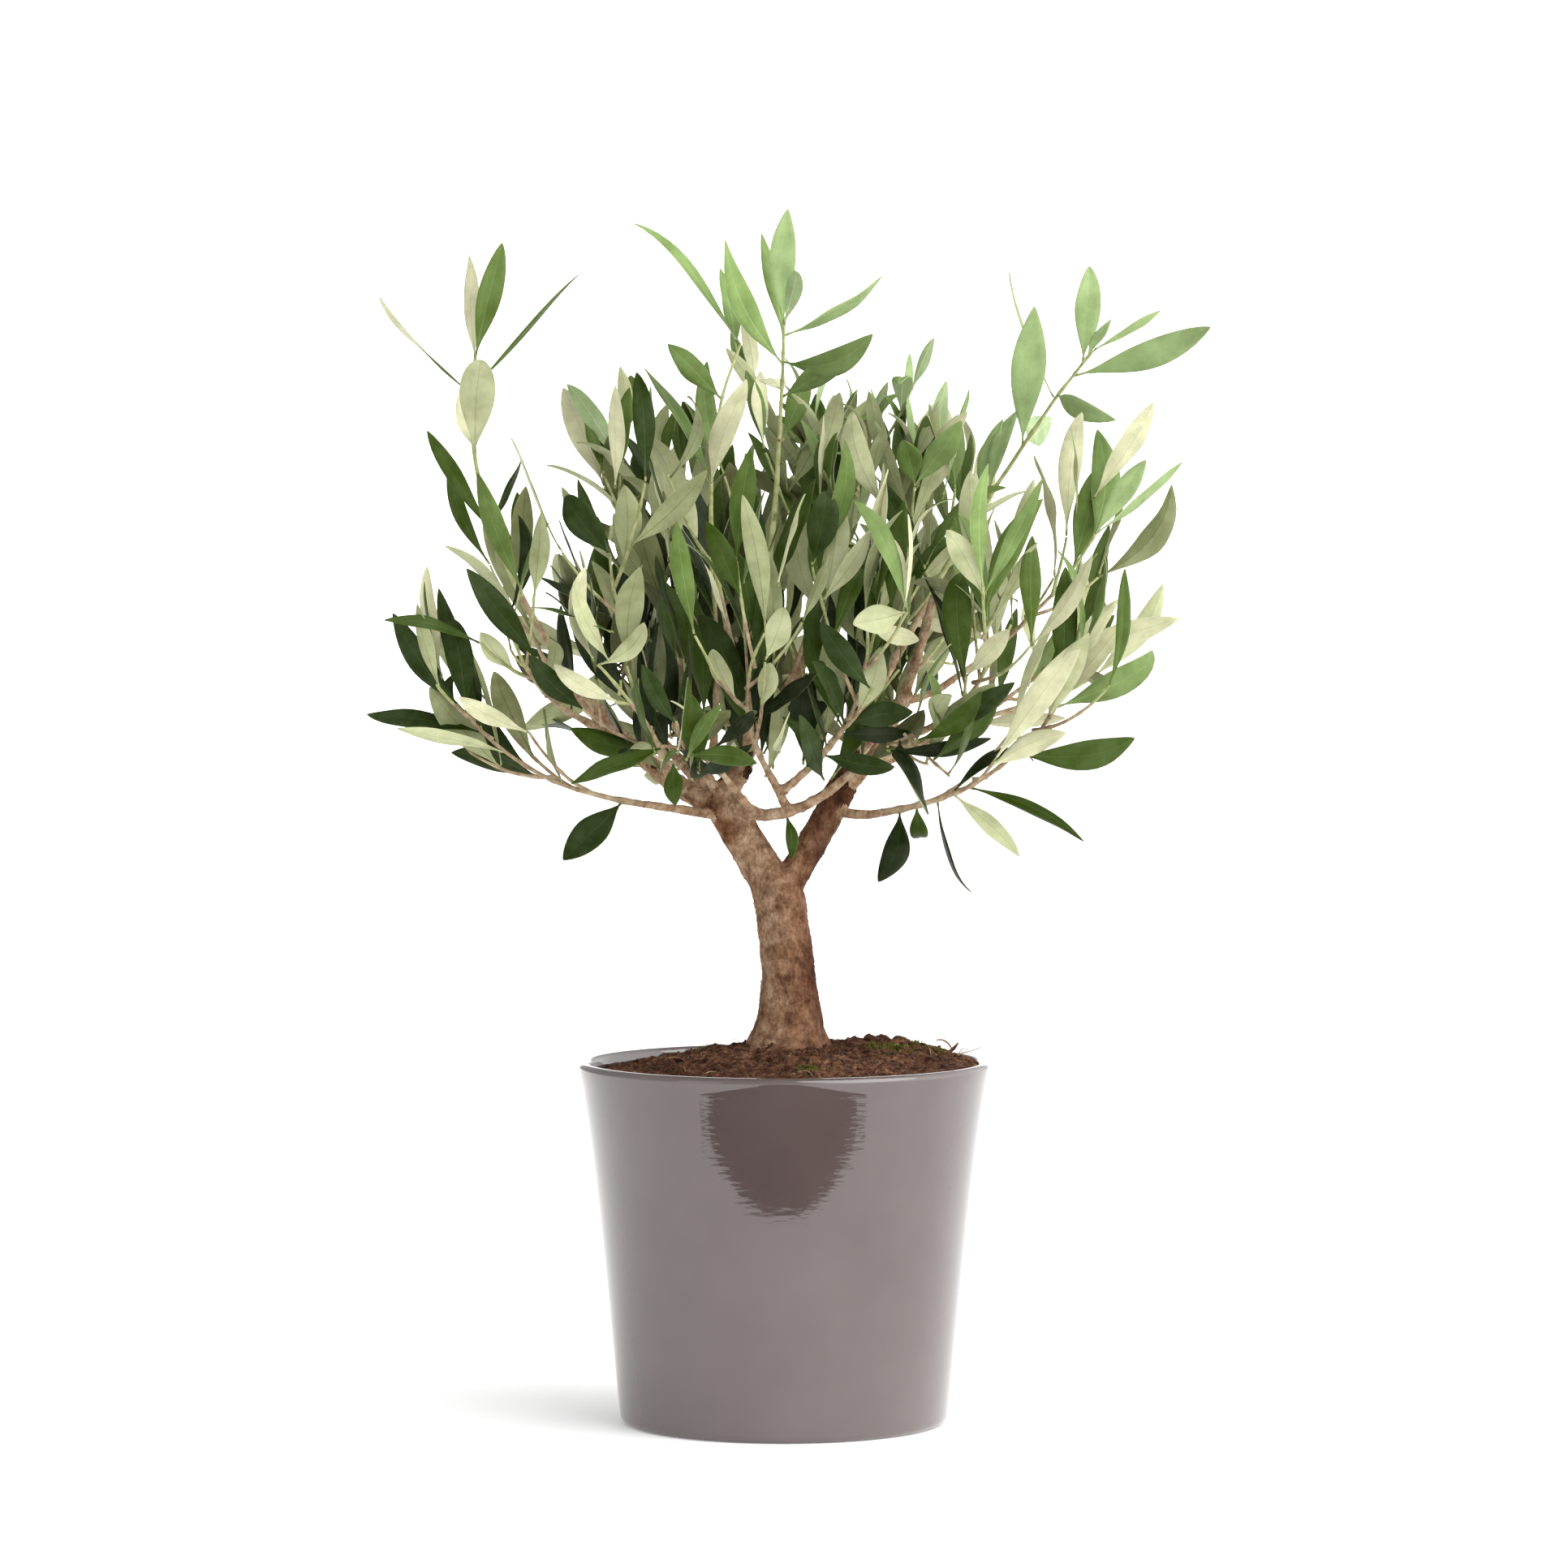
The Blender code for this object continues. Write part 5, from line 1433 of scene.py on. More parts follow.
Knot = namedtuple("Knot", "place size")  # in millimetres
KNOTS = [Knot(*row) for row in (
    ((-10.2, -6, 288.5), 4.0), ((-8.1, -6, 281.1), 3.2), ((-56, -4, 290), 2.4), ((26, -6, 281), 2.6),
    ((-4, 12, 214), 3.0), ((-30, 10, 276), 2.8),
)]
WOOD_SIDES = {"trunk": 40, "limb_left": 28, "limb_right": 28}
BOUGH_SIDES = 14
WOOD_VOXEL = 0.00075
WOOD_SMOOTHING = 3  # rounds
WOOD_SWELL = 0.00012  # makes up for what remeshing and smoothing take away
THIN_WOOD = 0.0046  # wood under this radius has the boughs' bark
TRUNK_SUNK = 0.002  # how far the foot goes into the soil
def wood_tubes(shapes):
    """Fine tubes of the trunk, limbs and boughs, still overlapping at their joints."""
    parts = []
    for name, (path, radii) in shapes.items():
        radii = [radius + WOOD_SWELL for radius in radii]
        lobes = None
        if name == "trunk":
            path = [path[0] - Vector((0, 0, TRUNK_SUNK))] + path
            radii = [radii[0]] + radii
            lobes = sunk_lobes
        sides = WOOD_SIDES.get(name, BOUGH_SIDES)
        parts.append((tube_points(path, radii, sides, lobes), ring_faces(len(path), sides)))
    return join(parts)


def sunk_lobes(ring, angle):
    """The trunk's root lobes, with one more ring under the soil."""
    return root_lobes(ring - 1, angle)


def remeshed(points, faces):
    """One skin over overlapping closed parts, as tables of points and quads."""
    mesh = bpy.data.meshes.new("wood_parts")
    mesh.from_pydata(points, [], faces)
    obj = linked("wood_parts", mesh)
    modifier = obj.modifiers.new("skin", "REMESH")
    modifier.mode = "VOXEL"
    modifier.voxel_size = WOOD_VOXEL
    graph = bpy.context.evaluated_depsgraph_get()
    made = bpy.data.meshes.new_from_object(obj.evaluated_get(graph))
    table = np.zeros(len(made.vertices) * 3)
    made.vertices.foreach_get("co", table)
    quads = [tuple(face.vertices) for face in made.polygons]
    edges = np.zeros(len(made.edges) * 2, int)
    made.edges.foreach_get("vertices", edges)
    bpy.data.objects.remove(obj)
    bpy.data.meshes.remove(mesh)
    bpy.data.meshes.remove(made)
    return table.reshape(-1, 3), quads, edges.reshape(-1, 2)


def smoothed(table, edges, rounds):
    """Draws each point half way to the mean of its neighbours, again and again."""
    count = np.bincount(edges.ravel(), minlength=len(table))[:, None]
    for _ in range(rounds):
        total = np.zeros_like(table)
        np.add.at(total, edges[:, 0], table[edges[:, 1]])
        np.add.at(total, edges[:, 1], table[edges[:, 0]])
        table = table * 0.5 + total / count * 0.5
    return table


BATCH = 4000  # points at a time
LIMB_PULL = (0.9, 0.0002, 3)  # the nearer limbs count for more: share of the radius, least gap and power
TINY = 1e-6


def limb_directions(table, shapes):
    """At each point: the way the wood runs, the way out of it, and its radius, from the limbs near it."""
    starts, ends, radii = [], [], []
    for path, ring_radii in shapes.values():
        low, high = segments_of(path)
        starts.append(low)
        ends.append(high)
        radii.append(np.array(ring_radii[:-1]))
    starts, ends, radii = np.concatenate(starts), np.concatenate(ends), np.concatenate(radii)
    line = (ends - starts) / np.linalg.norm(ends - starts, axis=1)[:, None]
    ways, outs, sizes = [], [], []
    core, least, power = LIMB_PULL
    for part in np.array_split(table, max(1, len(table) // BATCH)):
        nearest = nearest_on(part, starts, ends)
        away = part[:, None] - nearest
        gap = np.linalg.norm(away, axis=2)
        weight = 1 / (np.maximum(gap - radii * core, least)) ** power
        weight /= weight.sum(1)[:, None]
        way = (weight[..., None] * line).sum(1)
        out = (weight[..., None] * away / np.maximum(gap, TINY)[..., None]).sum(1)
        ways.append(way / np.linalg.norm(way, axis=1)[:, None])
        outs.append(out / np.maximum(np.linalg.norm(out, axis=1), TINY)[:, None])
        sizes.append((weight * radii).sum(1))
    return np.concatenate(ways), np.concatenate(outs), np.concatenate(sizes)


BARK_SWELL = (0.00075, 85)  # height and frequency
BARK_RIDGES = (0.00055, 420)
RIDGE_STRETCH = 0.72  # how much slower the ridges change along the wood
BARK_WARTS = (0.00030, 330, 0.28)  # and the level of the noise from which on they stand out
FULL_BARK = 0.009  # wood of this radius has the full relief
THIN_RIDGES = 0.35  # the share of the ridges on the thinnest


def bark_relief(place, way, size):
    """How far the bark stands out at a point: swellings, lengthways ridges and small warts."""
    point, run = Vector(place), Vector(way)
    squeezed = point - run * (point.dot(run) * RIDGE_STRETCH)
    thick = min(size / FULL_BARK, 1.0)
    swell = BARK_SWELL[0] * noise.noise(point * BARK_SWELL[1]) * thick
    ridges = BARK_RIDGES[0] * noise.fractal(squeezed * BARK_RIDGES[1], 0.9, 2.1, 3)
    ridges *= THIN_RIDGES + (1 - THIN_RIDGES) * thick
    height, frequency, level = BARK_WARTS
    warts = height * max(0.0, noise.noise(point * frequency) - level) * 3
    return swell + ridges + warts


KNOT_REACH = 2.5  # how far a knot moves the bark, of its size
KNOT_WOBBLE = (0.3, 500)  # strength and frequency
KNOT_COLLAR = (0.26, 1.2, 0.36)  # height, radius and width, of the knot's size
KNOT_PIT = (0.42, 0.75)  # depth and radius


def dented(table, outs, knot):
    """Presses a knot's pit into the bark and raises its collar. Returns the knot's centre and way out."""
    nearest = np.linalg.norm(table - np.array(knot.place) * 0.001, axis=1).argmin()
    centre, out = table[nearest].copy(), outs[nearest]
    size = knot.size * 0.001
    far = np.linalg.norm(table - centre, axis=1) / size
    close = far < KNOT_REACH
    wobble = np.array([noise.noise(Vector(p) * KNOT_WOBBLE[1]) for p in table[close]])
    near = far[close] * (1 + KNOT_WOBBLE[0] * wobble)
    height, radius, width = KNOT_COLLAR
    depth, hollow = KNOT_PIT
    collar = height * np.exp(-(((near - radius) / width) ** 2)) - depth * np.exp(-((near / hollow) ** 2))
    table[close] += outs[close] * (collar * size)[:, None]
    return Vector(centre), Vector(out)


KNOT_RINGS, KNOT_SIDES = 7, 28
KNOT_DARK = 0.95  # the dark patch's radius over the knot's
KNOT_PROUD = 0.00012
KNOT_UNEVEN = (0.5, 1.3, 900)  # its outline's: strength, frequency, and how the knots' noises lie apart
KNOT_ROUGH = (0.00025, 1400)  # height and frequency
KNOT_BACK = 1.5  # how deep the patch's closed back goes, of its size


def knot_patch(tree, centre, out, size):
    """A dark, uneven patch that follows the pit's own surface, just proud of it."""
    side = across(out)
    up = out.cross(side)
    strength, frequency, apart = KNOT_UNEVEN
    points = []
    for i in range(KNOT_RINGS + 1):
        for k in range(KNOT_SIDES):
            turn = 2 * math.pi * k / KNOT_SIDES
            way = swung(side, up, turn)
            uneven = strength * noise.noise(way * frequency + centre * apart)
            reach = size * i / KNOT_RINGS * (1 + uneven)
            flat = centre + way * reach
            hit = tree.ray_cast(flat + out * size, -out)[0]
            proud = KNOT_PROUD * (1 if i < KNOT_RINGS else -1)
            rough = KNOT_ROUGH[0] * noise.noise(flat * KNOT_ROUGH[1]) * (1 - i / KNOT_RINGS)
            points.append((hit or flat) + out * (proud + rough))
    faces = ring_faces(KNOT_RINGS + 1, KNOT_SIDES)[:-2]
    back = len(points)
    points.append(centre - out * size * KNOT_BACK)
    last = KNOT_RINGS * KNOT_SIDES
    faces += [(last + k, last + (k + 1) % KNOT_SIDES, back) for k in range(KNOT_SIDES)]
    faces.append(tuple(range(KNOT_SIDES - 1, -1, -1)))
    return points, faces


def make_wood(shapes, bark, bough_bark, knot):
    """The bark of trunk, limbs and boughs as one skin, and the dark cut knots on it."""
    points, faces, _ = wood_tubes(shapes)
    table, quads, edges = remeshed(points, faces)
    table = smoothed(table, edges, WOOD_SMOOTHING)
    ways, outs, sizes = limb_directions(table, shapes)
    relief = [bark_relief(place, way, size) for place, way, size in zip(table, ways, sizes)]
    table = table + outs * np.array(relief)[:, None]
    pits = [dented(table, outs, each) for each in KNOTS]
    names = ["trunk"] + [limb.name for limb in LIMBS]
    points = [Vector(place) for place in table.tolist()]
    thin = [int(sizes[quad[0]] < THIN_WOOD) for quad in quads]
    piece("bark_relief", points, quads, [bark, bough_bark], names, thin)
    skin = BVHTree.FromPolygons(points, quads)
    patches = [knot_patch(skin, *pit, each.size * 0.001 * KNOT_DARK) for each, pit in zip(KNOTS, pits)]
    joined_piece("cut_knots", patches, knot)


# ---------------------------------------------------------------- twigs


TWIG_SIDES = 8
TWIG_RING = 0.0022  # metres between a twig's rings
TWIG_RINGS = 5  # at the least
TWIG_ROOT = 0.0025  # how far a twig starts inside what carries it
NODE_SWELL = 0.34
NODE_LENGTH = 0.0016
TWIG_TAPER = 0.5  # under 1 thins a twig soon after its foot
YOUNG_LENGTH = 0.026  # the green end of a twig
YOUNG_HEIGHT = 0.315  # below this no twig has one
SHOOT_HEIGHT = 0.360  # above this the twigs are green all along
TWIG_WANDER = (0.0005, 60)  # how far and how often a twig strays
TWIG_UNEVEN = (0.10, 700)  # how much and how often its radius changes
TWIG_SHIFT = 9  # moves each twig to another part of the noise


STRAY_APART = 31.7  # how far apart the noises of a stray's three axes lie


def stray(place):
    """A vector of smooth noise at a place, the same one in each run."""
    return Vector([noise.noise(place + Vector((0, 0, STRAY_APART * axis))) for axis in range(3)])


def twig_part(twig, rng):
    """A twig's points, faces and material indices: wandering a little, swollen where its leaves sit."""
    length = path_length(twig.path)
    count = max(TWIG_RINGS, round(length / TWIG_RING))
    path = elbow_curve(*twig.curve, count)
    path[0] = path[0] - (path[1] - path[0]).normalized() * TWIG_ROOT
    shift = Vector([rng.uniform(0, TWIG_SHIFT) for _ in range(3)])
    for i in range(1, count):
        path[i] = path[i] + stray(path[i] * TWIG_WANDER[1] + shift) * TWIG_WANDER[0]
    radii = []
    for i in range(count + 1):
        t = i / count
        radius = twig.foot + (TWIG_TIP_RADIUS - twig.foot) * t**TWIG_TAPER
        swell = sum(math.exp(-((((t - node) * length) / NODE_LENGTH) ** 2)) for node in twig.nodes)
        uneven = TWIG_UNEVEN[0] * noise.noise(path[i] * TWIG_UNEVEN[1])
        radii.append(radius * (1 + NODE_SWELL * min(swell, 1.0) + uneven))
    faces = ring_faces(count + 1, TWIG_SIDES)
    young = []
    for i in range(count):
        near_end = (1 - i / count) * length < YOUNG_LENGTH and path[i].z > YOUNG_HEIGHT
        young.append(int(near_end or path[i].z > SHOOT_HEIGHT))
    green = [each for each in young for _ in range(TWIG_SIDES)]
    return tube_points(path, radii, TWIG_SIDES), faces, green + [0, 1]


def make_twigs(name, twigs, materials, rng):
    """One piece of all twigs, brown, and green where they are young."""
    parts, indices = [], []
    for twig in twigs:
        points, faces, green = twig_part(twig, rng)
        parts.append((points, faces))
        indices += green
    points, faces, _ = join(parts)
    piece(name, points, faces, materials, indices=indices)


# ---------------------------------------------------------------- leaves


# Tops from darkest to lightest. leaf_tints() deals them partly by the leaves' age, and partly as painted
# shade inside and under the crown and painted light at the top and on the right.
LEAF_TOPS = [
    ("leaf_black", (24, 36, 2), 0.42),
    ("leaf_deep", (37, 53, 4), 0.40),
    ("leaf_dark", (54, 73, 9), 0.38),
    ("leaf_green", (68, 88, 26), 0.38),
    ("leaf_mid", (88, 109, 48), 0.40),
    ("leaf_sage", (106, 127, 70), 0.42),
    ("leaf_fresh", (122, 146, 82), 0.42),
    ("leaf_young", (148, 170, 114), 0.44),
]
# Undersides from shaded to pale, then the young one. leaf_tints() deals the others as painted light and
# shade: paler where a leaf is out of the others' shade, higher up and further right.
LEAF_UNDERS = [
    ("under_shade", (74, 78, 34), 0.60),
    ("under_olive", (120, 124, 76), 0.60),
    ("under_sage", (150, 156, 110), 0.60),
    ("under_pale", (180, 184, 140), 0.60),
    ("under_cream", (204, 203, 164), 0.62),
    ("under_young", (158, 180, 128), 0.58),
]
STALK = len(LEAF_TOPS) + len(LEAF_UNDERS)  # the stalk's material
TOP_BLOOM_AND_SHEEN, UNDER_BLOOM_AND_SHEEN = 0.02, 0.05  # the pale cast of the leaves' paler clouds, partly their own grey bloom and partly painted sheen
TOP_SHINE = 0.07


def leaf_materials():
    """The tops, then the undersides, then the stalk."""
    made = [leaf_material(*row, TOP_BLOOM_AND_SHEEN, TOP_SHINE) for row in LEAF_TOPS]
    made += [leaf_material(*row, UNDER_BLOOM_AND_SHEEN) for row in LEAF_UNDERS]
    made.append(leaf_material("leaf_stalk", (140, 146, 88), 0.55, TOP_BLOOM_AND_SHEEN))
    return made


def leaf_faces():
    """One leaf's quads, and what each one is: top, under, rib, margin or stalk."""
    rows, columns = len(LEAF_STATIONS), LEAF_COLUMNS
    inner = columns - 2

    def top(i, j):
        return i * columns + j

    def under(i, j):
        if i in (0, rows - 1) or j in (0, columns - 1):
            return top(i, j)
        return rows * columns + (i - 1) * inner + j - 1

    faces, kinds = [], []
    for i in range(rows - 1):
        for j in range(columns - 1):
            faces.append((top(i, j), top(i, j + 1), top(i + 1, j + 1), top(i + 1, j)))
            faces.append((under(i, j), under(i + 1, j), under(i + 1, j + 1), under(i, j + 1)))
            if i == 0:
                kinds += ["stalk", "stalk"]
            elif j in (0, columns - 2):
                kinds += ["margin", "under"]
            elif j == columns // 2 - 1:
                kinds += ["rib_top", "rib_under"]
            else:
                kinds += ["top", "under"]
    return np.array(faces), kinds


def blade_outline(stations):
    """The blade's half width along its length, 0 to 1."""
    blade = np.clip((stations - LEAF_STALK) / (1 - LEAF_STALK), 0, 1)
    power = math.log(0.5) / math.log((LEAF_PEAK - LEAF_STALK) / (1 - LEAF_STALK))
    return np.sin(np.pi * blade**power) ** np.where(stations < LEAF_PEAK, *LEAF_FULLNESS)


def leaf_points(grown, rng):
    """The points of one curved, folded leaf: the upper face's table, then the inner ones underneath."""
    leaf = grown.leaf
    t = LEAF_STATIONS
    width = leaf.width * (1.0 if grown.placed else rng.uniform(*LEAF_NARROW))
    recurve = rng.gauss(*LEAF_RECURVE)
    recurve = math.radians(recurve + (rng.uniform(*CURLED_BY) if rng.random() < CURLED else 0))
    twist = math.radians(rng.gauss(0, LEAF_TWIST)) * t
    sickle = rng.gauss(0, LEAF_SICKLE[0])
    fold = LEAF_FOLD * rng.uniform(*FOLDED)
    curl = rng.uniform(*MARGIN_CURL)
    wave, cycles = rng.uniform(*LEAF_WAVE), rng.uniform(*LEAF_WAVES)
    phases = (rng.uniform(0, 2 * math.pi), rng.uniform(0, 2 * math.pi))

    axis, normal = np.array(leaf.axis), np.array(leaf.normal)
    side = np.cross(axis, normal)
    turned = leaf.bend * t + recurve * t**3
    middle = (turned[1:] + turned[:-1]) / 2
    steps = (axis * np.cos(middle)[:, None] - normal * np.sin(middle)[:, None]) * np.diff(t)[:, None]
    centre = np.array(leaf.root) + np.concatenate([[np.zeros(3)], np.cumsum(steps, 0)]) * leaf.length
    centre += side * (sickle * leaf.length * np.sin(np.pi * t * LEAF_SICKLE[1]))[:, None]
    up = normal * np.cos(turned)[:, None] + axis * np.sin(turned)[:, None]
    across_leaf = side * np.cos(twist)[:, None] + up * np.sin(twist)[:, None]
    up = up * np.cos(twist)[:, None] - side * np.sin(twist)[:, None]

    half = np.maximum(width / 2 * blade_outline(t), STALK_HALF * (t < 0.5))
    half = np.maximum(half, TIP_HALF)
    rib = np.minimum(RIB_HALF[0] + (RIB_HALF[1] - RIB_HALF[0]) * t, RIB_SHARE * half)
    edge = half - np.minimum(MARGIN_WIDTH, MARGIN_SHARE * half)
    halfway = rib + (edge - rib) * INNER_COLUMN
    right = np.stack([rib, halfway, edge, half], 1)
    offset = np.concatenate([-right[:, ::-1], right], 1)
    v = offset / half[:, None]
    wavy = np.where(v < 0, *(np.sin(2 * np.pi * cycles * t + phase)[:, None] for phase in phases))
    lift = half[:, None] * (fold * np.abs(v) - curl * np.abs(v) ** 3 + wave * wavy * v**2)
    thick = np.where(t < LEAF_STALK, STALK_HALF_THICK, LEAF_HALF_THICK)[:, None]
    ribbed = np.zeros(LEAF_COLUMNS)
    ribbed[LEAF_COLUMNS // 2 - 1 : LEAF_COLUMNS // 2 + 1] = RIB_RISE

    flat = centre[:, None] + across_leaf[:, None] * offset[..., None]
    upper = flat + up[:, None] * (lift + thick - ribbed * RIB_SUNK)[..., None]
    lower = flat + up[:, None] * (lift - thick - ribbed)[..., None]
    upper[:, [0, -1]] = (flat + up[:, None] * lift[..., None])[:, [0, -1]]
    return np.concatenate([upper.reshape(-1, 3), lower[1:-1, 1:-1].reshape(-1, 3)])


CROWN_LOW, CROWN_HIGH, CROWN_RADIUS = 0.25, 0.52, 0.15
SHADE_CORE = Vector((0, 0, 0.30))  # light comes to a leaf from the side away from here, and from above
SHADE_FROM_ABOVE = 0.5
SHADE_NEAR, SHADE_FAR = 0.006, 0.070  # where other leaves shade it
SHADE_SPREAD = 0.016
SHADE_STRENGTH = 0.22  # of one leaf


def leaf_shades(leaves):
    """How deep in the others' shade each leaf stands, 0 to 1."""
    places = np.array([tuple(leaf_point(grown.leaf, LEAF_MIDDLE)[0]) for grown in leaves])
    ways = places - np.array(SHADE_CORE)
    ways /= np.linalg.norm(ways, axis=1)[:, None]
    ways[:, 2] += SHADE_FROM_ABOVE
    ways /= np.linalg.norm(ways, axis=1)[:, None]
    shades = []
    for place, way in zip(places, ways):
        others = places - place
        ahead = others @ way
        aside = np.linalg.norm(others - ahead[:, None] * way, axis=1)
        count = ((ahead > SHADE_NEAR) & (ahead < SHADE_FAR) & (aside < SHADE_SPREAD)).sum()
        shades.append(1 - math.exp(-SHADE_STRENGTH * count))
    return shades


LEFT_MOST = -0.4  # how far left counts
YOUNG_FROM = 0.55  # the height, as a share of the crown's, from which on leaves are young
# Below this share of the crown's height the tops get darker: painted shade under the crown.
DEEP_BELOW = 0.34
# Light, height at right and deep paint light and shade onto the tops; height is partly the leaves' age and
# partly painted light from above; share and young are their age.
FRESH_AND_LIT_WEIGHTS = (0.54, 0.10, 0.18, 0.90, 0.8, -0.5)  # height, share, light, height at right, young, deep
FRESH_AND_LIT_SPREAD = (0.13, -0.14)  # and how much it changes in the young ones
PALE_START = 0.10
# Light, height and right make an underside paler: painted light.
PALE_WEIGHTS = (0.56, 0.36, 0.12)  # light, height, right
PALE_SPREAD = 0.13
YOUNG_UNDER = (0.62, 0.55, 0.3)  # from this height, this share has a young underside, and more at the right


def leaf_tints(grown, shade, rng):
    """Which top and underside a leaf gets: near black low and inside as painted shade, paler and fresher at
    the tips and on the right, partly as painted light and partly because the leaves there are young.
    """
    height = (grown.leaf.root.z - CROWN_LOW) / (CROWN_HIGH - CROWN_LOW)
    right = max(LEFT_MOST, min(1.0, grown.leaf.root.x / CROWN_RADIUS))
    young = max(0.0, height - YOUNG_FROM)
    deep = max(0.0, DEEP_BELOW - height)
    causes = (height, grown.share, 1 - shade, right * height, young, deep)
    fresh_and_lit = sum(weight * cause for weight, cause in zip(FRESH_AND_LIT_WEIGHTS, causes))
    fresh_and_lit += rng.gauss(0, FRESH_AND_LIT_SPREAD[0] + FRESH_AND_LIT_SPREAD[1] * young)
    top = max(0, min(len(LEAF_TOPS) - 1, int(fresh_and_lit * len(LEAF_TOPS))))
    from_height, chance, more_at_right = YOUNG_UNDER
    if height > from_height and rng.random() < chance + more_at_right * right:
        return top, STALK - 1
    causes = (1 - shade, height, right)
    pale = PALE_START + sum(weight * cause for weight, cause in zip(PALE_WEIGHTS, causes))
    pale += rng.gauss(0, PALE_SPREAD)
    return top, len(LEAF_TOPS) + max(0, min(len(LEAF_UNDERS) - 2, int(pale * (len(LEAF_UNDERS) - 1))))


DRY_LEAVES = (  # root, the way it points, the way its top faces, length, width and bend in degrees
    ((0.0735, 0.002, 0.1625), (-0.35, -0.20, 0.9), (0.8, -0.3, 0.3), 0.009, 0.0026, 70),
    ((0.0700, -0.004, 0.1620), (0.9, -0.3, 0.20), (0.0, -0.5, 0.9), 0.009, 0.0036, -60),
    ((-0.0500, -0.030, 0.1615), (0.5, 0.8, 0.10), (0.0, -0.2, 1.0), 0.018, 0.0050, 60),
    ((0.0200, 0.0450, 0.1625), (-0.8, 0.3, 0.15), (0.1, 0.2, 1.0), 0.022, 0.0056, -50),
)


def make_dry_leaves(material):
    """Small curled dead leaves that lie on the soil."""
    quads, _ = leaf_faces()
    rng = random.Random(DRY_SEED)
    parts = []
    for root, way, face, length, width, bend in DRY_LEAVES:
        axis = Vector(way).normalized()
        normal = Vector(face)
        normal = (normal - axis * axis.dot(normal)).normalized()
        leaf = Leaf(Vector(root), axis, normal, length, width, math.radians(bend))
        parts.append((leaf_points(Grown(leaf, 0.0, True), rng), quads.tolist()))
    joined_piece("dry_leaves", parts, material, sharp=LEAF_SHARP)


def make_leaves(name, leaves, materials, replaced, rng, dealt):
    """One piece of many leaves. dealt gives the rows of the front leaves, which bring their own tints."""
    quads, kinds = leaf_faces()
    tables, faces, indices = [], [], []
    base = 0
    for grown, shade in leaves:
        table = leaf_points(grown, rng)
        top, under = leaf_tints(grown, shade, rng)
        if id(grown) in dealt:
            top, under = dealt[id(grown)].top, len(LEAF_TOPS) + dealt[id(grown)].under
        tables.append(table)
        faces.append(quads + base)
        rib = max(under - 1, len(LEAF_TOPS))
        lighter = min(top + 1, len(LEAF_TOPS) - 1)
        skin = {"top": top, "rib_top": lighter, "margin": lighter, "under": under, "rib_under": rib}
        indices += [skin.get(kind, STALK) for kind in kinds]
        base += len(table)
    points = np.concatenate(tables).tolist()
    faces = np.concatenate(faces).tolist()
    piece(name, points, faces, materials, replaced, indices, sharp=LEAF_SHARP)


# Which masses are joined into which piece of leaves, by the ends of their names.
CROWN_PARTS = {
    "left": ("low_left", "front_left", "left_front", "left_back", "upper_left", "top_left", "front_low"),
    "middle": ("upper_mid", "top_centre", "cross", "mid_front", "centre_right", "top_mid", "front_right"),
    "right": ("low_right", "right_out", "right_front", "right_mid", "leaves_up_right", "top_right"),
    "back": ("back_centre", "back_up", "back_left_up"),
    "far": ("back_left", "back_right", "back_low", "right_back"),
}


def crown_part(name):
    """The piece that a mass's leaves go to."""
    for part in CROWN_PARTS:
        if any(name.endswith(ending) for ending in CROWN_PARTS[part]):
            return part
    raise ValueError(name)


def left_out(mass, grown, rng):
    """Whether a leaf of the rule is thinned out, so that sky shows where it does in the real crown."""
    root = grown.leaf.root
    height, front, share = LOW_FRONT
    low_front = root.z < height and root.y < front
    thinned = max(THINNED.get(mass.name, 0), share * low_front)
    return rng.random() < thinned and grown.share <= TIP_LEAVES


def kept_leaves(mass, leaves, space):
    """A mass's leaves, thinned out, turned up to the light and kept under the crown's top."""
    rng = random.Random(RAISE_SEED + mass.seed)
    kept = []
    for grown in leaves:
        if grown.placed:
            kept.append(grown)
        elif not left_out(mass, grown, rng):
            grown = raised(grown, space, rng)
            if not mass.name.startswith("shoot"):
                grown = grown._replace(leaf=under_dome(grown.leaf, rng))
            if leaf_samples(grown.leaf)[:, 2].min() > LOWEST_LEAF:
                kept.append(grown)
    return kept


def root_table(leaves, twigs=()):
    """Where the leaves, and the twigs if they are given, start."""
    starts = [tuple(grown.leaf.root) for part in leaves.values() for grown in part]
    return np.array(starts + [tuple(twig.curve[0]) for twig in twigs])


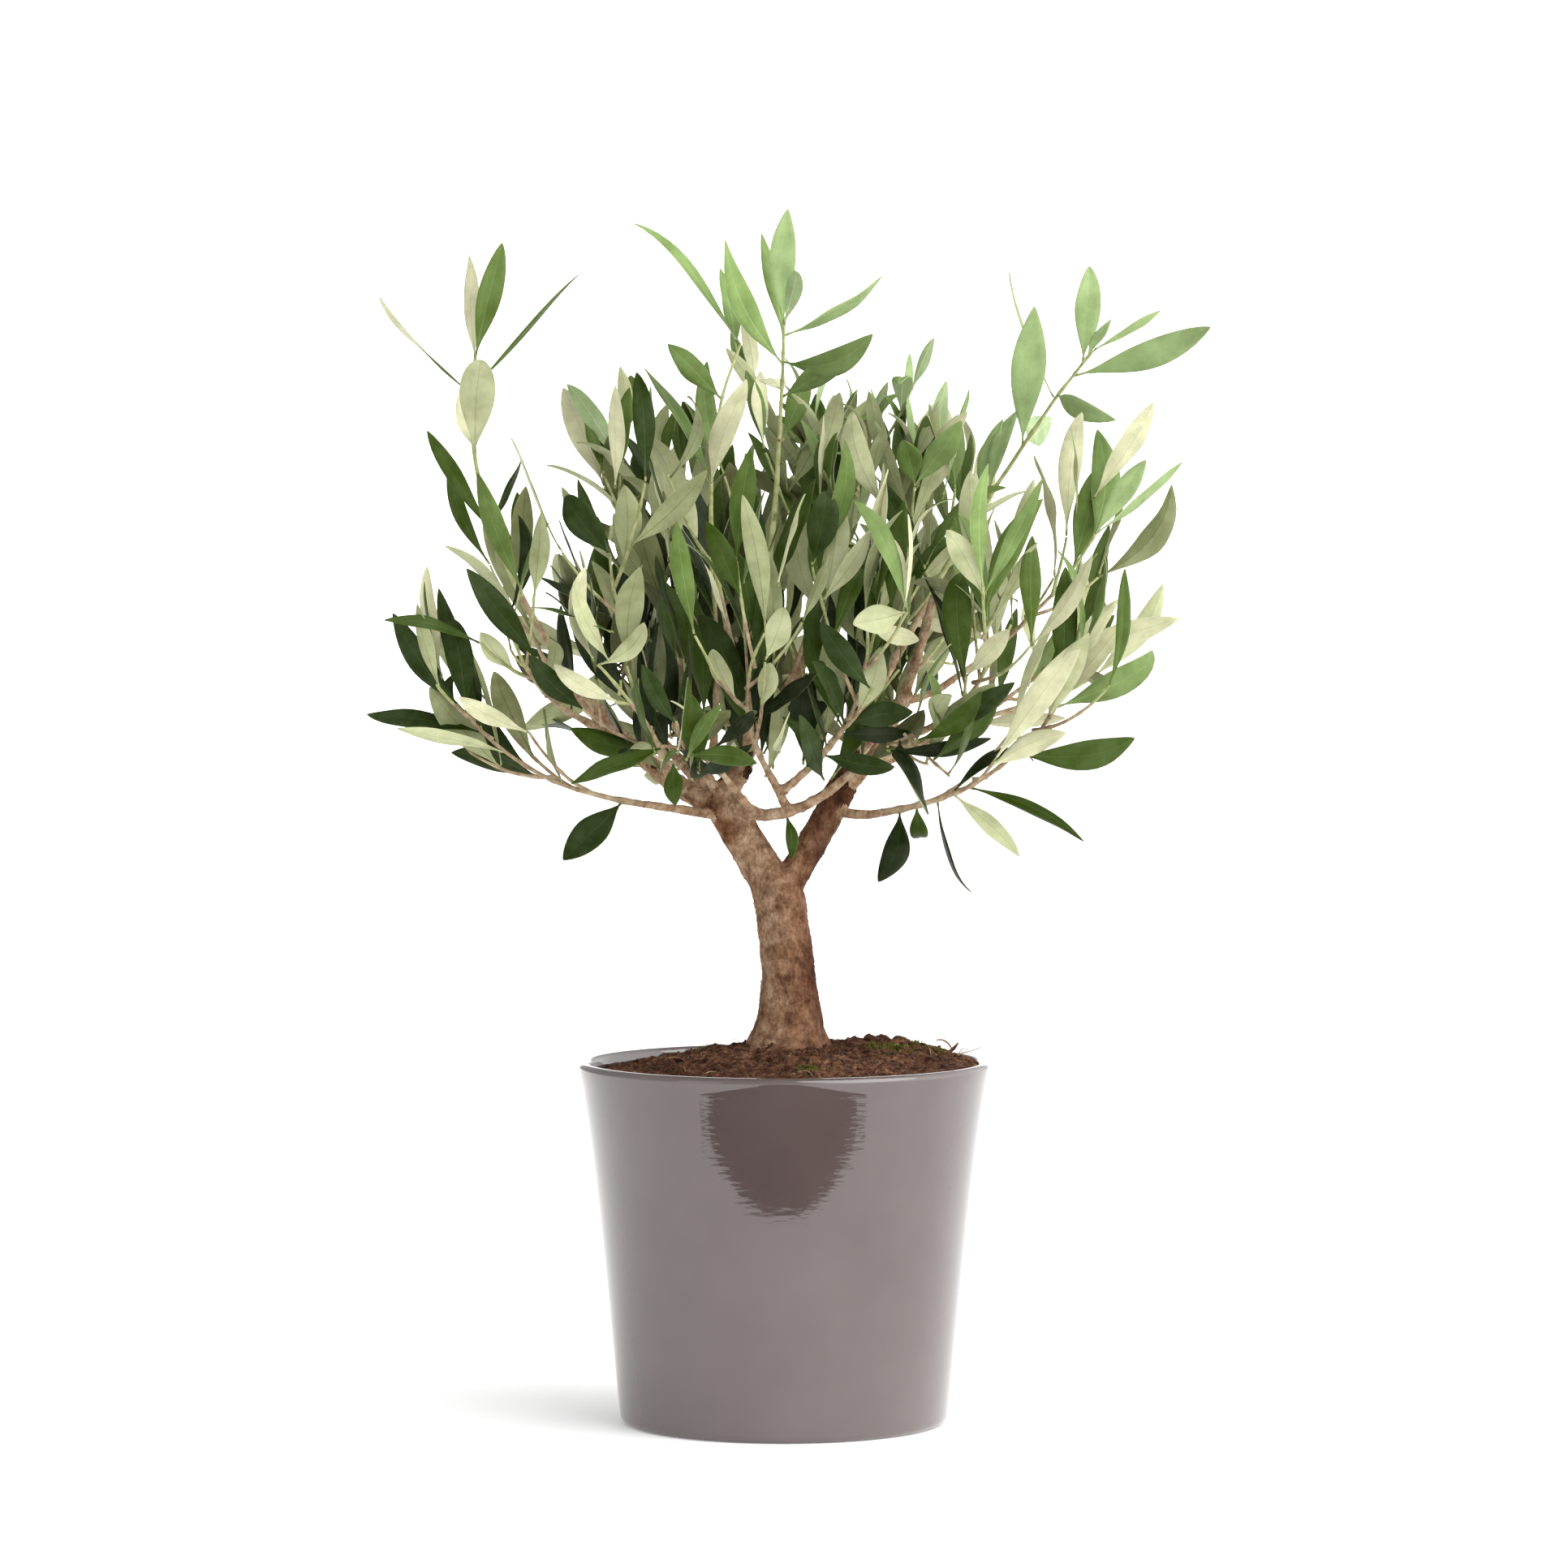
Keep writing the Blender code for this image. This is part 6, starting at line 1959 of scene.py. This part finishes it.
def make_foliage(shapes, twig_materials, leaf_skins):
    """All twigs and leaves: the frame's own rule first, then what the scene adds to it."""
    stems = {mass.name: stem_of(mass, shapes[mass.bough]) for mass in MASSES}
    outline = outline_leaves(stems)
    twigs, fine, leaves, names = [], [], {}, {}
    for mass in MASSES:
        own, grown, space = grow(mass, stems, shapes, outline)
        finer, more = grow_on(mass, own, shapes[mass.bough], space)
        twigs += own
        fine += finer
        part = crown_part(mass.name)
        leaves.setdefault(part, []).extend(kept_leaves(mass, grown + more, space))
        names.setdefault(part, []).append(mass.name)
    twigs.append(sprout(shapes))
    front = [front_leaf(row, twigs) for row in FRONT_LEAVES]
    dealt = {id(grown): row for grown, row in zip(front, FRONT_LEAVES)}
    for part, found in leaves.items():
        leaves[part] = [
            grown for grown in found
            if grown.placed or not any(hides(grown.leaf, other.leaf) for other in front)
        ]
    roots = root_table(leaves)
    twigs += [twig for twig in fine if leafy(twig, roots)]
    leaves["front"] = front
    roots = root_table(leaves, twigs)
    twigs = [trimmed(twig, roots) for twig in twigs]
    make_twigs("leafy_twigs", twigs, twig_materials, random.Random(TWIG_SEED))
    shades = iter(leaf_shades([grown for part in leaves.values() for grown in part]))
    for index, part in enumerate(leaves):
        shaded = [(grown, next(shades)) for grown in leaves[part]]
        rng = random.Random(LEAF_SEED + index)
        make_leaves(f"leaves_{part}", shaded, leaf_skins, names.get(part, ()), rng, dealt)


# ---------------------------------------------------------------- studio


def make_camera():
    """The photograph's camera, on a full-frame sensor."""
    camera = linked("camera", bpy.data.cameras.new("camera"))
    camera.data.lens = CAMERA_LENS
    camera.data.sensor_width = CAMERA_SENSOR
    camera.location = CAMERA_PLACE
    camera.rotation_euler = (math.radians(90 - CAMERA_PITCH), 0, 0)
    bpy.context.scene.camera = camera


# The dark place in front of the table, as it shows in the glaze: a rounded patch under the rim.
DARK_CARD = [
    (-0.308, -2.6), (0.305, -2.6), (0.300, -0.302), (0.265, -0.324), (0.200, -0.344), (0.100, -0.354),
    (0.0, -0.359), (-0.100, -0.353), (-0.200, -0.341), (-0.280, -0.316), (-0.306, -0.298),
]


def stage_plane(name, corners, z, material):
    """A flat, level part of the studio."""
    mesh = bpy.data.meshes.new(name)
    mesh.from_pydata([(x, y, z) for x, y in corners], [], [tuple(range(len(corners)))])
    mesh.materials.append(material)
    obj = linked(name, mesh)
    return obj


def soft_light(name, kind, place, energy, aim):
    """A light at its place, turned to what it aims at."""
    light = bpy.data.lights.new(name, kind)
    light.energy = energy
    obj = linked(name, light)
    obj.location = place
    obj.rotation_euler = (Vector(aim) - Vector(place)).to_track_quat("-Z", "Y").to_euler()
    return light


FLOOR_HALF = 9
FLOOR_GLOW = 0.22  # keeps the table white round the pot
CARD_HEIGHT = 0.001
ROOM_LIGHT = 1.78
# The room's light over its height, from left to right, and from the front back: places 0 to 1, and levels.
ROOM_ABOVE = ((0.25, 1.0), (1.0, 0.62))
ROOM_BESIDE = ((0.0, 0.44), (0.30, 0.70), (0.60, 1.34))
ROOM_FLANKS = ((0.10, 1.0), (0.60, 0.66))
ROOM_BEHIND = ((0.94, 0.0), (0.98, 1.0))  # and the white wall behind the pot
KEY_PLACE, KEY_LIGHT, KEY_SPREAD = (1.15, -0.85, 1.4), 1.9, 60
FILL_PLACE, FILL_LIGHT, FILL_SIZE, FILL_AIM = (-1.6, -1.4, 0.9), 2, (1.0, 1.2), (0, 0, 0.25)


def make_table():
    """A lit white table, and a dark card where it ends, which only shows in what mirrors it."""
    white, _, shader = surface("white_floor", grey(1.0), 0.7, Specular_IOR_Level=0.2)
    shader.inputs["Emission Color"].default_value = grey(1.0)
    shader.inputs["Emission Strength"].default_value = FLOOR_GLOW
    corners = [(x * FLOOR_HALF, y * FLOOR_HALF) for x, y in ((-1, -1), (1, -1), (1, 1), (-1, 1))]
    stage_plane("floor", corners, 0.0, white)
    black, _, _ = surface("dark_card", grey(0.01), 1.0, Specular_IOR_Level=0.0)
    card = stage_plane("table_end", DARK_CARD, CARD_HEIGHT, black)
    card.visible_camera = False
    card.visible_diffuse = False
    card.visible_shadow = False


def make_room():
    """A white room as the world's light, brighter on the right."""
    world = bpy.data.worlds.new("white_room")
    world.use_nodes = True
    tree = world.node_tree
    background = tree.nodes["Background"]
    background.inputs["Strength"].default_value = ROOM_LIGHT
    split = tree.nodes.new("ShaderNodeSeparateXYZ")
    tree.links.new(tree.nodes.new("ShaderNodeTexCoord").outputs["Generated"], split.inputs["Vector"])
    above, beside, flanks, behind = (
        ramp(tree, split.outputs[side], *((place, grey(level)) for place, level in stops))
        for side, stops in (("Z", ROOM_ABOVE), ("X", ROOM_BESIDE), ("Y", ROOM_FLANKS), ("Y", ROOM_BEHIND))
    )
    room = mix(tree, mix(tree, beside, flanks, "MULTIPLY"), behind, "ADD")
    tree.links.new(mix(tree, room, above, "MULTIPLY"), background.inputs["Color"])
    bpy.context.scene.world = world


def make_lights():
    """A soft key from the right front, and a faint fill from the left."""
    key = soft_light("key", "SUN", KEY_PLACE, KEY_LIGHT, (0, 0, 0))
    key.angle = math.radians(KEY_SPREAD)
    fill = soft_light("fill", "AREA", FILL_PLACE, FILL_LIGHT, FILL_AIM)
    fill.shape = "RECTANGLE"
    fill.size, fill.size_y = FILL_SIZE


# ---------------------------------------------------------------- all of it


def main():
    """The studio first, then the object from the pot up."""
    make_camera()
    make_table()
    make_room()
    make_lights()
    bpy.context.scene.view_settings.view_transform = "Standard"
    old_twig = twig_material("twig_bark", (140, 118, 90), (186, 166, 134))
    young_twig = twig_material("young_twig", (140, 146, 92), (182, 184, 132))
    earth = soil_material()
    make_pot(glaze_material())
    make_soil(earth)
    make_crumbs(earth)
    make_fibres(twig_material("straw", (120, 88, 62), (182, 150, 112)))
    make_moss(moss_material())
    make_dry_leaves(twig_material("dry_leaf", (92, 62, 42), (160, 122, 88)))
    shapes = limb_shapes()
    make_wood(shapes, bark_material(), bough_material(), knot_material())
    make_foliage(shapes, [old_twig, young_twig], leaf_materials())


main()
